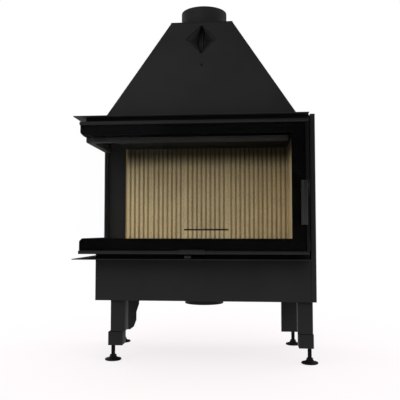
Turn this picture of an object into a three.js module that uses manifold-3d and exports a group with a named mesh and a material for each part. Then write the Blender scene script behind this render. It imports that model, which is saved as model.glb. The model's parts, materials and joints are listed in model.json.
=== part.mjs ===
// A wood burning fireplace insert for building into a wall corner: a steel casing on four levelling
// feet, a firebox behind a frameless corner door that is glass in front and on the left, and a pyramid
// hood with the flue collar. Millimetres, +Z up, the front towards -Y. Places are measured from the
// lower casing: x from its left edge, y from its front face and z from the floor. The last lines move
// the whole so that its box stands centred on the origin.
import * as THREE from "three";
import { ConvexGeometry } from "three/addons/geometries/ConvexGeometry.js";
import { mergeVertices } from "three/addons/utils/BufferGeometryUtils.js";
import Module from "manifold-3d";

const wasm = await Module();
wasm.setup();

// Driving dimensions ------------------------------------------------------------------------------

const fit = 0.4; // clearance between pieces that rest on or against each other
const sheet = 3; // steel sheet of the casing, flanges, hood and firebox
const roundSides = 48; // sides of the large tubes
const pinSides = 20; // sides of the pins, rods and bores

// Casing
const casingWidth = 794;
const casingDepth = 410;
const casingBase = 220; // underside above the floor
const lowerHeight = 152; // from there to the upper face of the bottom flange
const flangeRise = 19; // upper face of the top flange above the door
const postWidth = 18; // front strip of the right side
const postRise = 4.5; // how far the right side stands above the top flange
const columnLeft = -45; // left face of the rear column
const columnWidth = 88;
const columnFront = 300; // its front face, level with the back lining
const sealReturn = 18; // how far its sealing edge comes forward
const backDrop = 3; // how far the back sheet stays below the top flange
const plinthStop = 5; // from the plinth's right end to the casing's front strip

// Flanges: level ledges that the wall lining is built up to
const flangeFront = 58; // reach in front of the casing
const flangeLeft = 72; // reach to the left of the casing
const flangeRightStop = 25.3; // how far they stop short of the casing's right edge

// Door
const doorFront = 45; // outer face of the front pane, in front of the casing
const doorLeft = 50; // outer face of the side pane, left of the casing
const doorRise = 16.5; // door's lower edge above the bottom flange
const doorHeight = 478;
const doorRightStop = 28; // from the door's right edge to the casing's right edge
const paneThickness = 4;
const railHeight = 12.5;
const railDepth = 14;
const railProud = 2; // how far the rails stand in front of the glass
const stileWidth = 8.7;
const stileWing = 30; // width of the stile with its wing behind the glass
const wingThickness = 4.6;
const sealWidth = 12;
const sealInset = 5; // from a rail's edge to the rope seal

// Bottom pull
const pullLeftOfFlue = 69.5; // its left end, left of the flue's axis
const pullWidth = 92.5;
const pullHeight = 16.5;
const pullThickness = 2.6;

// Hinge
const sideRailStop = 4.4; // from the door's side rails to the column
const hingeStileReach = 24; // from the hinge stile's front edge to the axis
const hingeLap = 6; // how far the side rails' straps reach over the hinge stile's ends
const sealRearSet = 16; // from the rear seal's front edge to the column's front face
const hingeLeft = 54; // axis, left of the casing
const hingeShare = 58 / 110; // where the axis lies between the column's front face and the casing's back
const eyeRadius = 6.5;
const pinRadius = 3.2;
const pinReach = 30; // how far each pin goes into the eye
const bracketHeight = 16;

// Handle, drawn hanging straight down
const pivotInset = 12; // from the door's right edge
const pivotRise = 236.5; // above the door's lower edge
const bossRadius = 9.5;
const bossLength = 46;
const spindleRadius = 5;
const leverWidth = 21.5;
const leverDepth = 20;
const leverRise = 18; // top of the bar above the pivot
const leverDrop = 133; // foot of the bar below the pivot
const leverOffset = 8.2; // the bar's centre line, left of the pivot
const leverRound = 4;
const camThickness = 5;
const camReach = 10.5;
const camHeight = 9;
const keeperHeight = 50;
const keeperClearance = 2; // the cam's tongue stops this far short of the keeper

// Firebox
const frameFront = 27; // sealing face of the fixed frame, in front of the casing
const frameThickness = 15;
const frameLeft = -32; // its sealing face on the left
const frameRise = 13.5; // frame's lower edge above the door's
const frameBottomHeight = 34;
const frameTopDrop = 44.5; // lower edge of the frame's top bar below the door's upper edge
const frameRightWidth = 53;
const frameRightSet = 3.6; // from the right lining's face to the frame
const hearthRise = 26; // upper face of the steel floor above the frame's lower edge
const liningDrop = 7.4; // top of the lining below the frame's top bar
const liningThickness = 25;
const liningRightInset = 79.6; // face of the right lining, from the casing's right edge
const centrePanelWidth = 184;
const innerPanelShare = 0.56; // of what is left on each side of the centre panel
const slotRise = 48.8; // air slot across the centre panel, above the steel floor
const slotGap = 2.5;
const flutePitch = 18.6;
const fluteWidth = 8;
const fluteFoot = 5; // width at the bottom
const fluteDepth = 7;
const fluteMargin = 12.7; // least distance from a panel's inner edge to its first flute
const hearthThickness = 11.6;
const grateWidth = 160;
const grateDepth = 140;
const grateThickness = 8;
const grateSlots = 7;
const grateLedge = 6;
const grateRim = 18; // from the grate's front and back edges to its slots
const grateEdge = 10; // from its side edges to the first and last slot's share
const panHeight = 34;
const baffleThickness = 8;
const baffleFront = 60;
const ductHeight = 17;
const ductGap = 10; // between it and the frame's top bar
const ductDepth = 25;
const ductLeft = -36;
const ductRightInset = 96; // from the casing's right edge
const roofRise = 4.5; // upper face of the firebox top above the door

// Hood and flue
const hoodLeftInset = 25.5;
const hoodRightInset = 57.5;
const hoodFrontInset = 10;
const hoodHeight = 385;
const hoodTopSide = 236;
const collarDiameter = 180;
const collarHeight = 72.5;
const flueWall = 2;
const flueClearance = 2; // between the collar and the flue pipe that ends inside it
const flueReach = 29.5; // how far the flue pipe stands up in the collar
const hoodOpeningInset = 30; // from the hood's foot to the opening in the top flange
const ventHalf = 60; // half of the diamond vent's diagonal
const ventRise = 312.5; // its centre above the top flange
const ventLip = 12; // depth of the turned-in edge

// Combustion air
const spigotDiameter = 150;
const spigotDrop = 30; // its lower end below the casing
const spigotRise = 20; // its upper end inside the casing
const spigotFlange = 12;
const airHoleWidth = 60;
const airHoleDepth = 100;
const slideThickness = 4;
const slideMargin = 12; // how far the slide overlaps the air hole, front and back
const tabLeftOfFlue = 49.5; // left side of the air lever's tab, left of the flue's axis
const tabWidth = 24;
const tabHeight = 9;
const tabDepth = 30;
const tabFront = 60; // in front of the casing
const airRodWidth = 12;
const airRodHeight = 6;
const airRodSink = 1; // how far the lever's rod is let into the slide
const airTravelLeft = 20;
const airTravelRight = 50;

// Legs and feet
const legWidth = 52;
const legDepth = 60;
const legFront = 10;
const frontLeftLeg = 55.5;
const frontRightLegInset = 13; // from the leg's right side to the casing's right edge
const sleeveBottom = 57.5;
const sleeveTop = 106;
const sleeveJoint = 2; // open joint between a front leg and its sleeve
const sleeveLeftShift = 8.8; // the left sleeve stands this far outside its leg
const sleeveRightShift = 2.5;
const rearLegSet = 55; // from the rear legs' front to the casing's back
const rearLegWidth = 70;
const rearLegBottom = 56;
const rearLeftLegTop = 95; // width of the tapered rear left leg under the casing
const taperStraight = 81; // its width along the straight stretch
const taperFoot = 54; // its width at the foot
const rearRightLegInset = 106; // from the leg's left side to the casing's right edge
const rearBlockWidth = 31;
const rearBlockDepth = 40;
const rodInset = 12.2; // rod axis from a front sleeve's outer side
const rearRodInset = 20.4; // rod axis from a rear leg's outer side
const rearRodSet = 24; // rod axis behind a rear leg's plate
const frontRodSet = 30; // rod axis behind the front legs' front face
const padRadius = 30;
const padThickness = 8;
const hubRadius = 12.5;
const hubTop = 20;
const rodRadius = 7.5;
const rodTop = 84;
const rodClearance = 1;

// Places worked out from the driving dimensions ---------------------------------------------------

const deckTop = casingBase + lowerHeight;
const doorBottom = deckTop + doorRise;
const doorTop = doorBottom + doorHeight;
const flangeTop = doorTop + flangeRise;
const frameBottom = doorBottom + frameRise;
const frameTopBottom = doorTop - frameTopDrop;
const hearthLevel = frameBottom + hearthRise;
const liningTop = frameTopBottom - liningDrop;
const slotHeight = hearthLevel + slotRise;
const ductBottom = frameTopBottom - ductGap - ductHeight;
const fireboxRoof = doorTop + roofRise;
const hoodTopHeight = flangeTop + hoodHeight;
const collarTop = hoodTopHeight + collarHeight;
const flueTop = hoodTopHeight + flueReach;
const flueDiameter = collarDiameter - 2 * flueWall - 2 * flueClearance;
const ventHeight = flangeTop + ventRise;
const pivotHeight = doorBottom + pivotRise;
const postLeft = casingWidth - postWidth;
const flangeRight = casingWidth - flangeRightStop;
const doorRight = casingWidth - doorRightStop;
const innerDepth = casingDepth - sheet - fit; // back end of what stands in front of the back sheet
const columnRight = columnLeft + columnWidth;
const liningRightFace = casingWidth - liningRightInset;
const shellRight = liningRightFace + liningThickness + 2 * fit;
const shellBack = columnFront + liningThickness + fit;
const frameInner = -frameFront + frameThickness; // back face of the fixed frame
const frameRightEnd = liningRightFace + frameRightSet + frameRightWidth;
const frameLegEnd = columnFront - sealReturn - fit;
const paneBottom = doorBottom + railHeight + fit;
const paneTop = doorTop - railHeight - fit;
const paneBack = -doorFront + paneThickness;
const hingeX = -hingeLeft;
const hingeY = columnFront + hingeShare * (casingDepth - columnFront);
const sideEnd = columnFront - sideRailStop;
const hingeStileFront = hingeY - hingeStileReach;
const pivotX = doorRight - pivotInset;
const hoodLeft = hoodLeftInset;
const hoodRight = casingWidth - hoodRightInset;
const hoodFront = hoodFrontInset;
const hoodBack = casingDepth - hoodFrontInset;
const flueX = (hoodLeft + hoodRight) / 2;
const flueY = (hoodFront + hoodBack) / 2;
const hoodFoot = flangeTop + fit;
const legTop = casingBase - fit;
const rearLegFront = casingDepth - rearLegSet;
const leverLeft = flueX - tabLeftOfFlue;
const pullLeft = flueX - pullLeftOfFlue;

// Finishes ----------------------------------------------------------------------------------------

const finish = (color, roughness, metalness, extra = {}) =>
  new THREE.MeshStandardMaterial({ color, roughness, metalness, ...extra });

const casingPaint = finish(0x222325, 0.62, 0.2);
const doorPaint = finish(0x2d3033, 0.5, 0.3);
const fireboxSteel = finish(0x1d1d1f, 0.7, 0.3);
const castIron = finish(0x18181a, 0.75, 0.4);
const fireboard = finish(0x968c6d, 0.95, 0);
const hearthBrick = finish(0x8d8064, 0.95, 0);
const blackSteel = finish(0x1a1b1c, 0.45, 0.6);
const ropeSeal = finish(0x2b2a29, 0.95, 0);
const glass = finish(0x9fa6a8, 0.05, 0, { transparent: true, opacity: 0.25 });

// Shapes ------------------------------------------------------------------------------------------

const stove = new THREE.Group();
const body = new THREE.Group();
const door = new THREE.Group();
const handle = new THREE.Group();
const air = new THREE.Group();
const feet = new THREE.Group();
handle.position.set(pivotX, 0, pivotHeight);
door.add(handle);
stove.add(body, door, air, feet);

const add = (group, name, geometry, material) => {
  const mesh = new THREE.Mesh(geometry, material);
  mesh.name = name;
  group.add(mesh);
  return mesh;
};

// A block between two corners, each given as low and high on x, y and z.
const block = ([x0, x1], [y0, y1], [z0, z1]) =>
  new THREE.BoxGeometry(x1 - x0, y1 - y0, z1 - z0).translate(
    (x0 + x1) / 2,
    (y0 + y1) / 2,
    (z0 + z1) / 2,
  );

const shapeOf = (points) => new THREE.Shape(points.map(([u, v]) => new THREE.Vector2(u, v)));

const rectangle = (u0, u1, v0, v1) => [[u0, v0], [u1, v0], [u1, v1], [u0, v1]];

const holeOf = (points) => new THREE.Path(points.map(([u, v]) => new THREE.Vector2(u, v)));

const circleHole = (u, v, radius) => new THREE.Path().absarc(u, v, radius, 0, 2 * Math.PI, true);

// A level outline in x and y, raised from z0 to z1.
const raised = (outline, [z0, z1], holes = [], curveSegments = 24) => {
  const shape = outline instanceof THREE.Shape ? outline : shapeOf(outline);
  shape.holes.push(...holes);
  return new THREE.ExtrudeGeometry(shape, { depth: z1 - z0, bevelEnabled: false, curveSegments })
    .translate(0, 0, z0);
};

// An upright outline in x and z, running from y0 back to y1.
const upright = (outline, [y0, y1], holes = [], curveSegments = 24) =>
  raised(outline, [0, y1 - y0], holes, curveSegments).rotateX(Math.PI / 2).translate(0, y1, 0);

// A ring or rod around the vertical line through x and y. The profile is radius and height, going up
// outside.
const turned = (profile, x, y, sides) =>
  new THREE.LatheGeometry(profile.map(([r, z]) => new THREE.Vector2(r, z)), sides)
    .rotateX(Math.PI / 2)
    .translate(x, y, 0);

const tube = (outer, inner, [z0, z1], x, y, sides = roundSides) =>
  turned([[inner, z0], [outer, z0], [outer, z1], [inner, z1], [inner, z0]], x, y, sides);

// A rod along y.
const rodAlongY = (radius, [y0, y1], x, z) =>
  new THREE.CylinderGeometry(radius, radius, y1 - y0, pinSides).translate(x, (y0 + y1) / 2, z);

const rodAlongZ = (radius, [z0, z1], x, y) =>
  new THREE.CylinderGeometry(radius, radius, z1 - z0, pinSides)
    .rotateX(Math.PI / 2)
    .translate(x, y, (z0 + z1) / 2);

// Joining and cutting -----------------------------------------------------------------------------

const solid = (geometry) => {
  const bare = geometry.clone();
  bare.deleteAttribute("normal");
  bare.deleteAttribute("uv");
  const merged = mergeVertices(bare, 1e-4);
  return new wasm.Manifold(
    new wasm.Mesh({
      numProp: 3,
      vertProperties: new Float32Array(merged.attributes.position.array),
      triVerts: new Uint32Array(merged.index.array),
    }),
  );
};

const geometryOf = (manifold) => {
  const mesh = manifold.getMesh();
  return new THREE.BufferGeometry()
    .setAttribute("position", new THREE.BufferAttribute(mesh.vertProperties, 3))
    .setIndex(new THREE.BufferAttribute(mesh.triVerts, 1));
};

const join = (...geometries) =>
  geometryOf(geometries.map(solid).reduce((whole, piece) => whole.add(piece)));

const cut = (geometry, ...tools) =>
  geometryOf(tools.map(solid).reduce((whole, tool) => whole.subtract(tool), solid(geometry)));

const common = (a, b) => geometryOf(solid(a).intersect(solid(b)));

// Casing ------------------------------------------------------------------------------------------

const backTop = flangeTop - sheet - backDrop;
const lowerWalls = [casingBase, deckTop - sheet - fit];

add(body, "casing_front", block([0, postLeft - fit], [0, sheet], lowerWalls), casingPaint);
add(body, "casing_left", block([0, sheet], [sheet + fit, innerDepth], lowerWalls), casingPaint);

const rightProfile = [
  [postLeft, 0],
  [casingWidth, 0],
  [casingWidth, innerDepth],
  [casingWidth - sheet, innerDepth],
  [casingWidth - sheet, sheet],
  [postLeft, sheet],
];
add(body, "casing_right", raised(rightProfile, [casingBase, flangeTop + postRise]), casingPaint);

const backOutline = [
  [0, casingBase],
  [casingWidth, casingBase],
  [casingWidth, backTop],
  [columnLeft, backTop],
  [columnLeft, deckTop],
  [0, deckTop],
];
add(body, "casing_back", upright(backOutline, [casingDepth - sheet, casingDepth]), casingPaint);

const bottomOutline = rectangle(sheet + fit, casingWidth - sheet - fit, sheet + fit, innerDepth);
const spigotHole = circleHole(flueX, flueY, spigotDiameter / 2 + fit);
const bottomSheet = raised(bottomOutline, [casingBase, casingBase + sheet], [spigotHole]);
add(body, "casing_bottom", bottomSheet, casingPaint);

// The bottom flange runs through under the firebox as its deck, with the air hole that the slide covers.
// Behind the casing's front strip both flanges reach the right side.
const flangeOutline = [
  [-flangeLeft, -flangeFront],
  [flangeRight, -flangeFront],
  [flangeRight, sheet + fit],
  [casingWidth - sheet - fit, sheet + fit],
  [casingWidth - sheet - fit, innerDepth],
  [-flangeLeft, innerDepth],
];
const airHole = holeOf(
  rectangle(
    flueX - airHoleWidth / 2,
    flueX + airHoleWidth / 2,
    flueY - airHoleDepth / 2,
    flueY + airHoleDepth / 2,
  ),
);
add(body, "bottom_flange", raised(flangeOutline, [deckTop - sheet, deckTop], [airHole]), casingPaint);

const hoodOpening = holeOf(
  rectangle(
    hoodLeft + hoodOpeningInset,
    hoodRight - hoodOpeningInset,
    hoodFront + hoodOpeningInset,
    hoodBack - hoodOpeningInset,
  ),
);
add(body, "top_flange", raised(flangeOutline, [flangeTop - sheet, flangeTop], [hoodOpening]), casingPaint);

// The rear left column closes the casing behind the side pane, and its forward edge takes the rope seal.
const columnProfile = [
  [columnLeft, columnFront],
  [frameLeft, columnFront],
  [frameLeft, columnFront - sealReturn],
  [frameLeft + sheet, columnFront - sealReturn],
  [frameLeft + sheet, columnFront],
  [columnRight, columnFront],
  [columnRight, columnFront + sheet],
  [columnLeft + sheet, columnFront + sheet],
  [columnLeft + sheet, innerDepth],
  [columnLeft, innerDepth],
];
add(body, "rear_column", raised(columnProfile, [deckTop + fit, backTop]), fireboxSteel);

// The plinth stands on the deck and carries the firebox floor. The air lever passes through its slot.
const plinthTop = hearthLevel - 2 * fit - sheet;
const plinthRight = postLeft - plinthStop;
const plinthProfile = [
  [0, 0],
  [plinthRight, 0],
  [plinthRight, sheet],
  [sheet, sheet],
  [sheet, columnFront - fit],
  [0, columnFront - fit],
];
const slotMargin = 3;
const rodMiddle = leverLeft + tabWidth / 2;
const rodBottom = deckTop + fit + slideThickness;
const leverSlot = block(
  [
    rodMiddle - airRodWidth / 2 - airTravelLeft - slotMargin,
    rodMiddle + airRodWidth / 2 + airTravelRight + slotMargin,
  ],
  [-sheet, 2 * sheet],
  [rodBottom - slotMargin / 2, rodBottom + airRodHeight + slotMargin],
);
add(body, "plinth_wall", cut(raised(plinthProfile, [deckTop + fit, plinthTop]), leverSlot), fireboxSteel);

// Firebox -----------------------------------------------------------------------------------------

// An L in plan: along the front at y and along the left side at x, both of the same depth.
const cornerBar = (x0, x1, y0, y1, depth) => [
  [x0, y0],
  [x1, y0],
  [x1, y0 + depth],
  [x0 + depth, y0 + depth],
  [x0 + depth, y1],
  [x0, y1],
];

const frameBar = cornerBar(frameLeft, frameRightEnd, -frameFront, frameLegEnd, frameThickness);
const underRoof = fireboxRoof - sheet - fit;
add(body, "frame_bottom", raised(frameBar, [frameBottom, frameBottom + frameBottomHeight]), fireboxSteel);
add(body, "frame_top", raised(frameBar, [frameTopBottom, flangeTop - sheet - fit]), fireboxSteel);
add(
  body,
  "frame_right",
  block(
    [frameRightEnd - frameRightWidth, frameRightEnd],
    [-frameFront, frameInner],
    [frameBottom + frameBottomHeight + fit, frameTopBottom - fit],
  ),
  fireboxSteel,
);

const boxLeft = frameLeft + frameThickness + fit;
const boxFront = frameInner + fit;
const grateX = [flueX - grateWidth / 2, flueX + grateWidth / 2];
const grateY = [flueY - grateDepth / 2, flueY + grateDepth / 2];
const ledgeHole = holeOf(
  rectangle(grateX[0] + grateLedge, grateX[1] - grateLedge, grateY[0] + grateLedge, grateY[1] - grateLedge),
);
const floorOutline = [
  [boxLeft, boxFront],
  [shellRight + sheet, boxFront],
  [shellRight + sheet, shellBack + sheet],
  [columnRight + fit, shellBack + sheet],
  [columnRight + fit, columnFront - fit],
  [boxLeft, columnFront - fit],
];
const floorSheet = raised(floorOutline, [hearthLevel - sheet, hearthLevel], [ledgeHole]);
add(body, "firebox_floor", floorSheet, fireboxSteel);

const shellProfile = [
  [shellRight, boxFront],
  [shellRight + sheet, boxFront],
  [shellRight + sheet, shellBack + sheet],
  [columnRight + fit, shellBack + sheet],
  [columnRight + fit, shellBack],
  [shellRight, shellBack],
];
add(body, "firebox_shell", raised(shellProfile, [hearthLevel + fit, underRoof]), fireboxSteel);

const roofOutline = [
  [boxLeft, boxFront],
  [frameRightEnd, boxFront],
  [frameRightEnd, shellBack + sheet],
  [columnRight + fit, shellBack + sheet],
  [columnRight + fit, columnFront - fit],
  [boxLeft, columnFront - fit],
];
const smokeHole = circleHole(flueX, flueY, flueDiameter / 2 - flueWall);
add(
  body,
  "firebox_top",
  raised(roofOutline, [fireboxRoof - sheet, fireboxRoof], [smokeHole]),
  fireboxSteel,
);

// Lining panels with flutes down the front face. "from" is where the first flute lies and "step" its
// direction.
const liningBack = columnFront + liningThickness;
const flutedPanel = ([x0, x1], first, step, [z0, z1]) => {
  const centres = [];
  const slack = fluteWidth / 2 + 1;
  for (let x = first; x > x0 + slack && x < x1 - slack; x += step * flutePitch) centres.push(x);
  const points = [[x0, columnFront]];
  for (const x of centres.sort((a, b) => a - b)) {
    points.push([x - fluteWidth / 2, columnFront]);
    points.push([x - fluteFoot / 2, columnFront + fluteDepth]);
    points.push([x + fluteFoot / 2, columnFront + fluteDepth]);
    points.push([x + fluteWidth / 2, columnFront]);
  }
  points.push([x1, columnFront], [x1, liningBack], [x0, liningBack]);
  return raised(points, [z0, z1]);
};

const liningBottom = hearthLevel + fit;
const fullHeight = [liningBottom, liningTop];
const centreLeft = flueX - centrePanelWidth / 2;
const centreRight = flueX + centrePanelWidth / 2;
const liningLeft = columnRight + 2 * fit;
const liningRight = liningRightFace + liningThickness;
const leftJoint = centreLeft - innerPanelShare * (centreLeft - liningLeft);
const rightJoint = centreRight + innerPanelShare * (liningRightFace - centreRight);
const seam = fit / 2;
const centreFlutes = Math.floor((centrePanelWidth - 2 * fluteMargin) / flutePitch);
const centreFirst = flueX - (centreFlutes * flutePitch) / 2;
const centreSpan = [centreLeft + seam, centreRight - seam];

const backPanels = [
  ["lining_outer_left", [liningLeft, leftJoint - seam], leftJoint - fluteMargin, -1, fullHeight],
  ["lining_inner_left", [leftJoint + seam, centreLeft - seam], centreLeft - fluteMargin, -1, fullHeight],
  ["lining_centre_lower", centreSpan, centreFirst, 1, [liningBottom, slotHeight - slotGap / 2]],
  ["lining_centre_upper", centreSpan, centreFirst, 1, [slotHeight + slotGap / 2, liningTop]],
  ["lining_inner_right", [centreRight + seam, rightJoint - seam], centreRight + fluteMargin, 1, fullHeight],
  ["lining_outer_right", [rightJoint + seam, liningRight], rightJoint + fluteMargin / 2, 1, fullHeight],
];
for (const [name, span, first, step, heights] of backPanels)
  add(body, name, flutedPanel(span, first, step, heights), fireboard);

const rightLining = block([liningRightFace, liningRight], [boxFront, columnFront - fit], fullHeight);
add(body, "lining_right", rightLining, fireboard);

const grateHole = holeOf(rectangle(grateX[0] - 1, grateX[1] + 1, grateY[0] - 1, grateY[1] + 1));
const hearthOutline = rectangle(boxLeft, liningRightFace - fit, boxFront, columnFront - fit);
const hearthHeights = [hearthLevel + fit, hearthLevel + fit + hearthThickness];
add(body, "hearth_bricks", raised(hearthOutline, hearthHeights, [grateHole]), hearthBrick);

const baffle = block(
  [liningLeft, liningRight],
  [baffleFront, liningBack],
  [liningTop + fit, liningTop + fit + baffleThickness],
);
add(body, "baffle", baffle, fireboxSteel);

const ductEnd = columnFront - sealReturn - 3 * sheet;
const ductProfile = cornerBar(ductLeft, casingWidth - ductRightInset, frameInner, ductEnd, ductDepth);
add(body, "air_wash_duct", raised(ductProfile, [ductBottom, ductBottom + ductHeight]), fireboxSteel);

const panTop = hearthLevel - sheet - fit;
const panOutside = block(
  [grateX[0] - grateLedge, grateX[1] + grateLedge],
  [grateY[0] - grateLedge, grateY[1] + grateLedge],
  [panTop - panHeight, panTop],
);
const panInside = block(
  [grateX[0] - grateLedge + sheet, grateX[1] + grateLedge - sheet],
  [grateY[0] - grateLedge + sheet, grateY[1] + grateLedge - sheet],
  [panTop - panHeight + sheet, panTop + sheet],
);
add(body, "ash_pan", cut(panOutside, panInside), fireboxSteel);

// Grate: a cast plate with long slots, resting on the ledge around the hole in the floor.
const grateSlotPitch = (grateWidth - 2 * grateEdge) / grateSlots;
const slotCuts = [];
for (let i = 0; i < grateSlots; i += 1) {
  const middle = flueX + (i - (grateSlots - 1) / 2) * grateSlotPitch;
  const half = grateSlotPitch / 4;
  const slotSpan = [grateY[0] + grateRim, grateY[1] - grateRim];
  slotCuts.push(block([middle - half, middle + half], slotSpan, [0, flangeTop]));
}
const grateHeights = [hearthLevel + fit, hearthLevel + fit + grateThickness];
const grate = new THREE.Group();
stove.add(grate);
add(grate, "grate", cut(block(grateX, grateY, grateHeights), ...slotCuts), castIron);

// Hood --------------------------------------------------------------------------------------------

// One side of the hood: a sloping sheet between its foot and its top, mitred to its neighbours. "turn"
// counts the quarter turns from the front, and "thick" is the sheet's thickness measured level.
const hoodFootCorners = [
  [hoodLeft, hoodFront],
  [hoodRight, hoodFront],
  [hoodRight, hoodBack],
  [hoodLeft, hoodBack],
];
const half = hoodTopSide / 2;
const hoodTopCorners = [
  [flueX - half, flueY - half],
  [flueX + half, flueY - half],
  [flueX + half, flueY + half],
  [flueX - half, flueY + half],
];
const hoodSideTop = hoodTopHeight - sheet - fit;
const mitre = 0.3; // each sheet stops this far short of the corner line

const hoodSide = (turn, thick) => {
  const points = [];
  for (const [corners, z] of [[hoodFootCorners, hoodFoot], [hoodTopCorners, hoodSideTop]]) {
    const [ax, ay] = corners[turn];
    const [bx, by] = corners[(turn + 1) % 4];
    const along = new THREE.Vector2(bx - ax, by - ay).normalize();
    const inward = new THREE.Vector2(-along.y, along.x);
    for (const inset of [0, thick]) {
      const end = inset + mitre;
      const a = new THREE.Vector2(ax, ay).addScaledVector(along, end).addScaledVector(inward, inset);
      const b = new THREE.Vector2(bx, by).addScaledVector(along, -end).addScaledVector(inward, inset);
      points.push(new THREE.Vector3(a.x, a.y, z), new THREE.Vector3(b.x, b.y, z));
    }
  }
  return new ConvexGeometry(points);
};

const diamond = (halfDiagonal) => [
  [flueX, ventHeight - halfDiagonal],
  [flueX + halfDiagonal, ventHeight],
  [flueX, ventHeight + halfDiagonal],
  [flueX - halfDiagonal, ventHeight],
];
const ventCut = upright(diamond(ventHalf), [hoodFront, flueY]);
const ventOuter = upright(diamond(ventHalf + sheet), [hoodFront, flueY]);
const frontSheet = cut(hoodSide(0, sheet), ventCut);
const turnedLip = cut(common(hoodSide(0, ventLip), ventOuter), ventCut);
add(body, "hood_front", join(frontSheet, turnedLip), casingPaint);
add(body, "hood_right", hoodSide(1, sheet), casingPaint);
add(body, "hood_back", hoodSide(2, sheet), casingPaint);
add(body, "hood_left", hoodSide(3, sheet), casingPaint);

const hoodTopOutline = rectangle(flueX - half, flueX + half, flueY - half, flueY + half);
const flueHole = circleHole(flueX, flueY, flueDiameter / 2 + 2 * fit);
const topSheet = raised(hoodTopOutline, [hoodTopHeight - sheet, hoodTopHeight], [flueHole]);
add(body, "hood_top", topSheet, casingPaint);

const collarRadius = collarDiameter / 2;
const collar = tube(collarRadius, collarRadius - flueWall, [hoodTopHeight + fit, collarTop], flueX, flueY);
add(body, "flue_collar", collar, casingPaint);
const flueRadius = flueDiameter / 2;
const flue = tube(flueRadius, flueRadius - flueWall, [fireboxRoof + fit, flueTop], flueX, flueY);
add(body, "flue_pipe", flue, casingPaint);

// Combustion air ----------------------------------------------------------------------------------

const spigotRadius = spigotDiameter / 2;
const spigotBore = spigotRadius - flueWall;
const ringBottom = casingBase + sheet + fit;
const spigotBottom = casingBase - spigotDrop;
const spigotTop = casingBase + spigotRise;
const spigotProfile = [
  [spigotBore, spigotBottom],
  [spigotRadius, spigotBottom],
  [spigotRadius, ringBottom],
  [spigotRadius + spigotFlange, ringBottom],
  [spigotRadius + spigotFlange, ringBottom + sheet],
  [spigotRadius, ringBottom + sheet],
  [spigotRadius, spigotTop],
  [spigotBore, spigotTop],
  [spigotBore, spigotBottom],
];
add(body, "air_spigot", turned(spigotProfile, flueX, flueY, roundSides), blackSteel);

// The slide is drawn half way over the air hole. Its lever comes out through the plinth under the door.
const slideY = [flueY - airHoleDepth / 2 - slideMargin, flueY + airHoleDepth / 2 + slideMargin];
const slidePlate = block(
  [flueX - airHoleWidth - 2 * airTravelLeft, flueX],
  slideY,
  [deckTop + fit, deckTop + fit + slideThickness],
);
const rodSpan = [rodMiddle - airRodWidth / 2, rodMiddle + airRodWidth / 2];
const airRod = block(
  rodSpan,
  [-tabFront + tabDepth / 2, slideY[1] - slideMargin],
  [rodBottom - airRodSink, rodBottom + airRodHeight],
);
const tab = block(
  [leverLeft, leverLeft + tabWidth],
  [-tabFront, -tabFront + tabDepth],
  [rodBottom - airRodSink, rodBottom - airRodSink + tabHeight],
);
add(air, "air_lever", join(slidePlate, airRod, tab), doorPaint);

// Legs and feet -----------------------------------------------------------------------------------

const legY = [legFront, legFront + legDepth];
const channel = (x0, x1) => [
  [x0, legY[0]],
  [x1, legY[0]],
  [x1, legY[1]],
  [x1 - sheet, legY[1]],
  [x1 - sheet, legY[0] + sheet],
  [x0 + sheet, legY[0] + sheet],
  [x0 + sheet, legY[1]],
  [x0, legY[1]],
];
const frontRightLeg = casingWidth - frontRightLegInset - legWidth;
const bore = rodRadius + rodClearance;
const rodBore = (x, y) => rodAlongZ(bore, [0, casingBase], x, y);

const frontLegs = [
  { side: "left", x: frontLeftLeg, shift: -sleeveLeftShift, rod: rodInset },
  { side: "right", x: frontRightLeg, shift: sleeveRightShift, rod: legWidth - rodInset },
];
for (const { side, x, shift, rod } of frontLegs) {
  const legHeights = [sleeveTop + sleeveJoint, legTop];
  add(body, `leg_front_${side}`, raised(channel(x, x + legWidth), legHeights), casingPaint);
  const sleeve = block([x + shift, x + shift + legWidth], legY, [sleeveBottom, sleeveTop]);
  const rodX = x + shift + rod;
  const rodY = legFront + frontRodSet;
  add(body, `sleeve_front_${side}`, cut(sleeve, rodBore(rodX, rodY)), casingPaint);
}

// A rear leg: an upright plate with a bored block behind it that takes the foot's rod.
const rearLeg = (outline, rodX, rodY) => {
  const plate = upright(outline, [rearLegFront, rearLegFront + sheet]);
  const nutBlock = block(
    [rodX - rearBlockWidth / 2, rodX + rearBlockWidth / 2],
    [rearLegFront + sheet - 1, rearLegFront + sheet + rearBlockDepth],
    [rearLegBottom, sleeveTop],
  );
  const web = block(
    [rodX - sheet / 2, rodX + sheet / 2],
    [rearLegFront + sheet - 1, rearLegFront + sheet + rearBlockDepth],
    [sleeveTop - 1, legTop],
  );
  return cut(join(plate, nutBlock, web), rodAlongZ(bore, [0, sleeveTop - 2], rodX, rodY));
};
const rearRodY = rearLegFront + sheet + rearRodSet;
const rearRightLeft = casingWidth - rearRightLegInset;
const rearRods = {
  left: rearRodInset,
  right: rearRightLeft + rearLegWidth - rearRodInset,
};
// The rear left leg's plate narrows downwards: its inner edge leans in, drops straight, and is cut off
// at the foot.
const rearLeftOutline = [
  [0, rearLegBottom],
  [taperFoot, rearLegBottom],
  [taperStraight - 11, rearLegBottom + 12],
  [taperStraight, rearLegBottom + 40],
  [taperStraight, rearLegBottom + 74],
  [rearLeftLegTop - sheet, rearLegBottom + 107],
  [rearLeftLegTop, legTop],
  [0, legTop],
];
const rearRightOutline = rectangle(rearRightLeft, rearRightLeft + rearLegWidth, rearLegBottom, legTop);
add(body, "leg_rear_left", rearLeg(rearLeftOutline, rearRods.left, rearRodY), casingPaint);
add(body, "leg_rear_right", rearLeg(rearRightOutline, rearRods.right, rearRodY), casingPaint);

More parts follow.
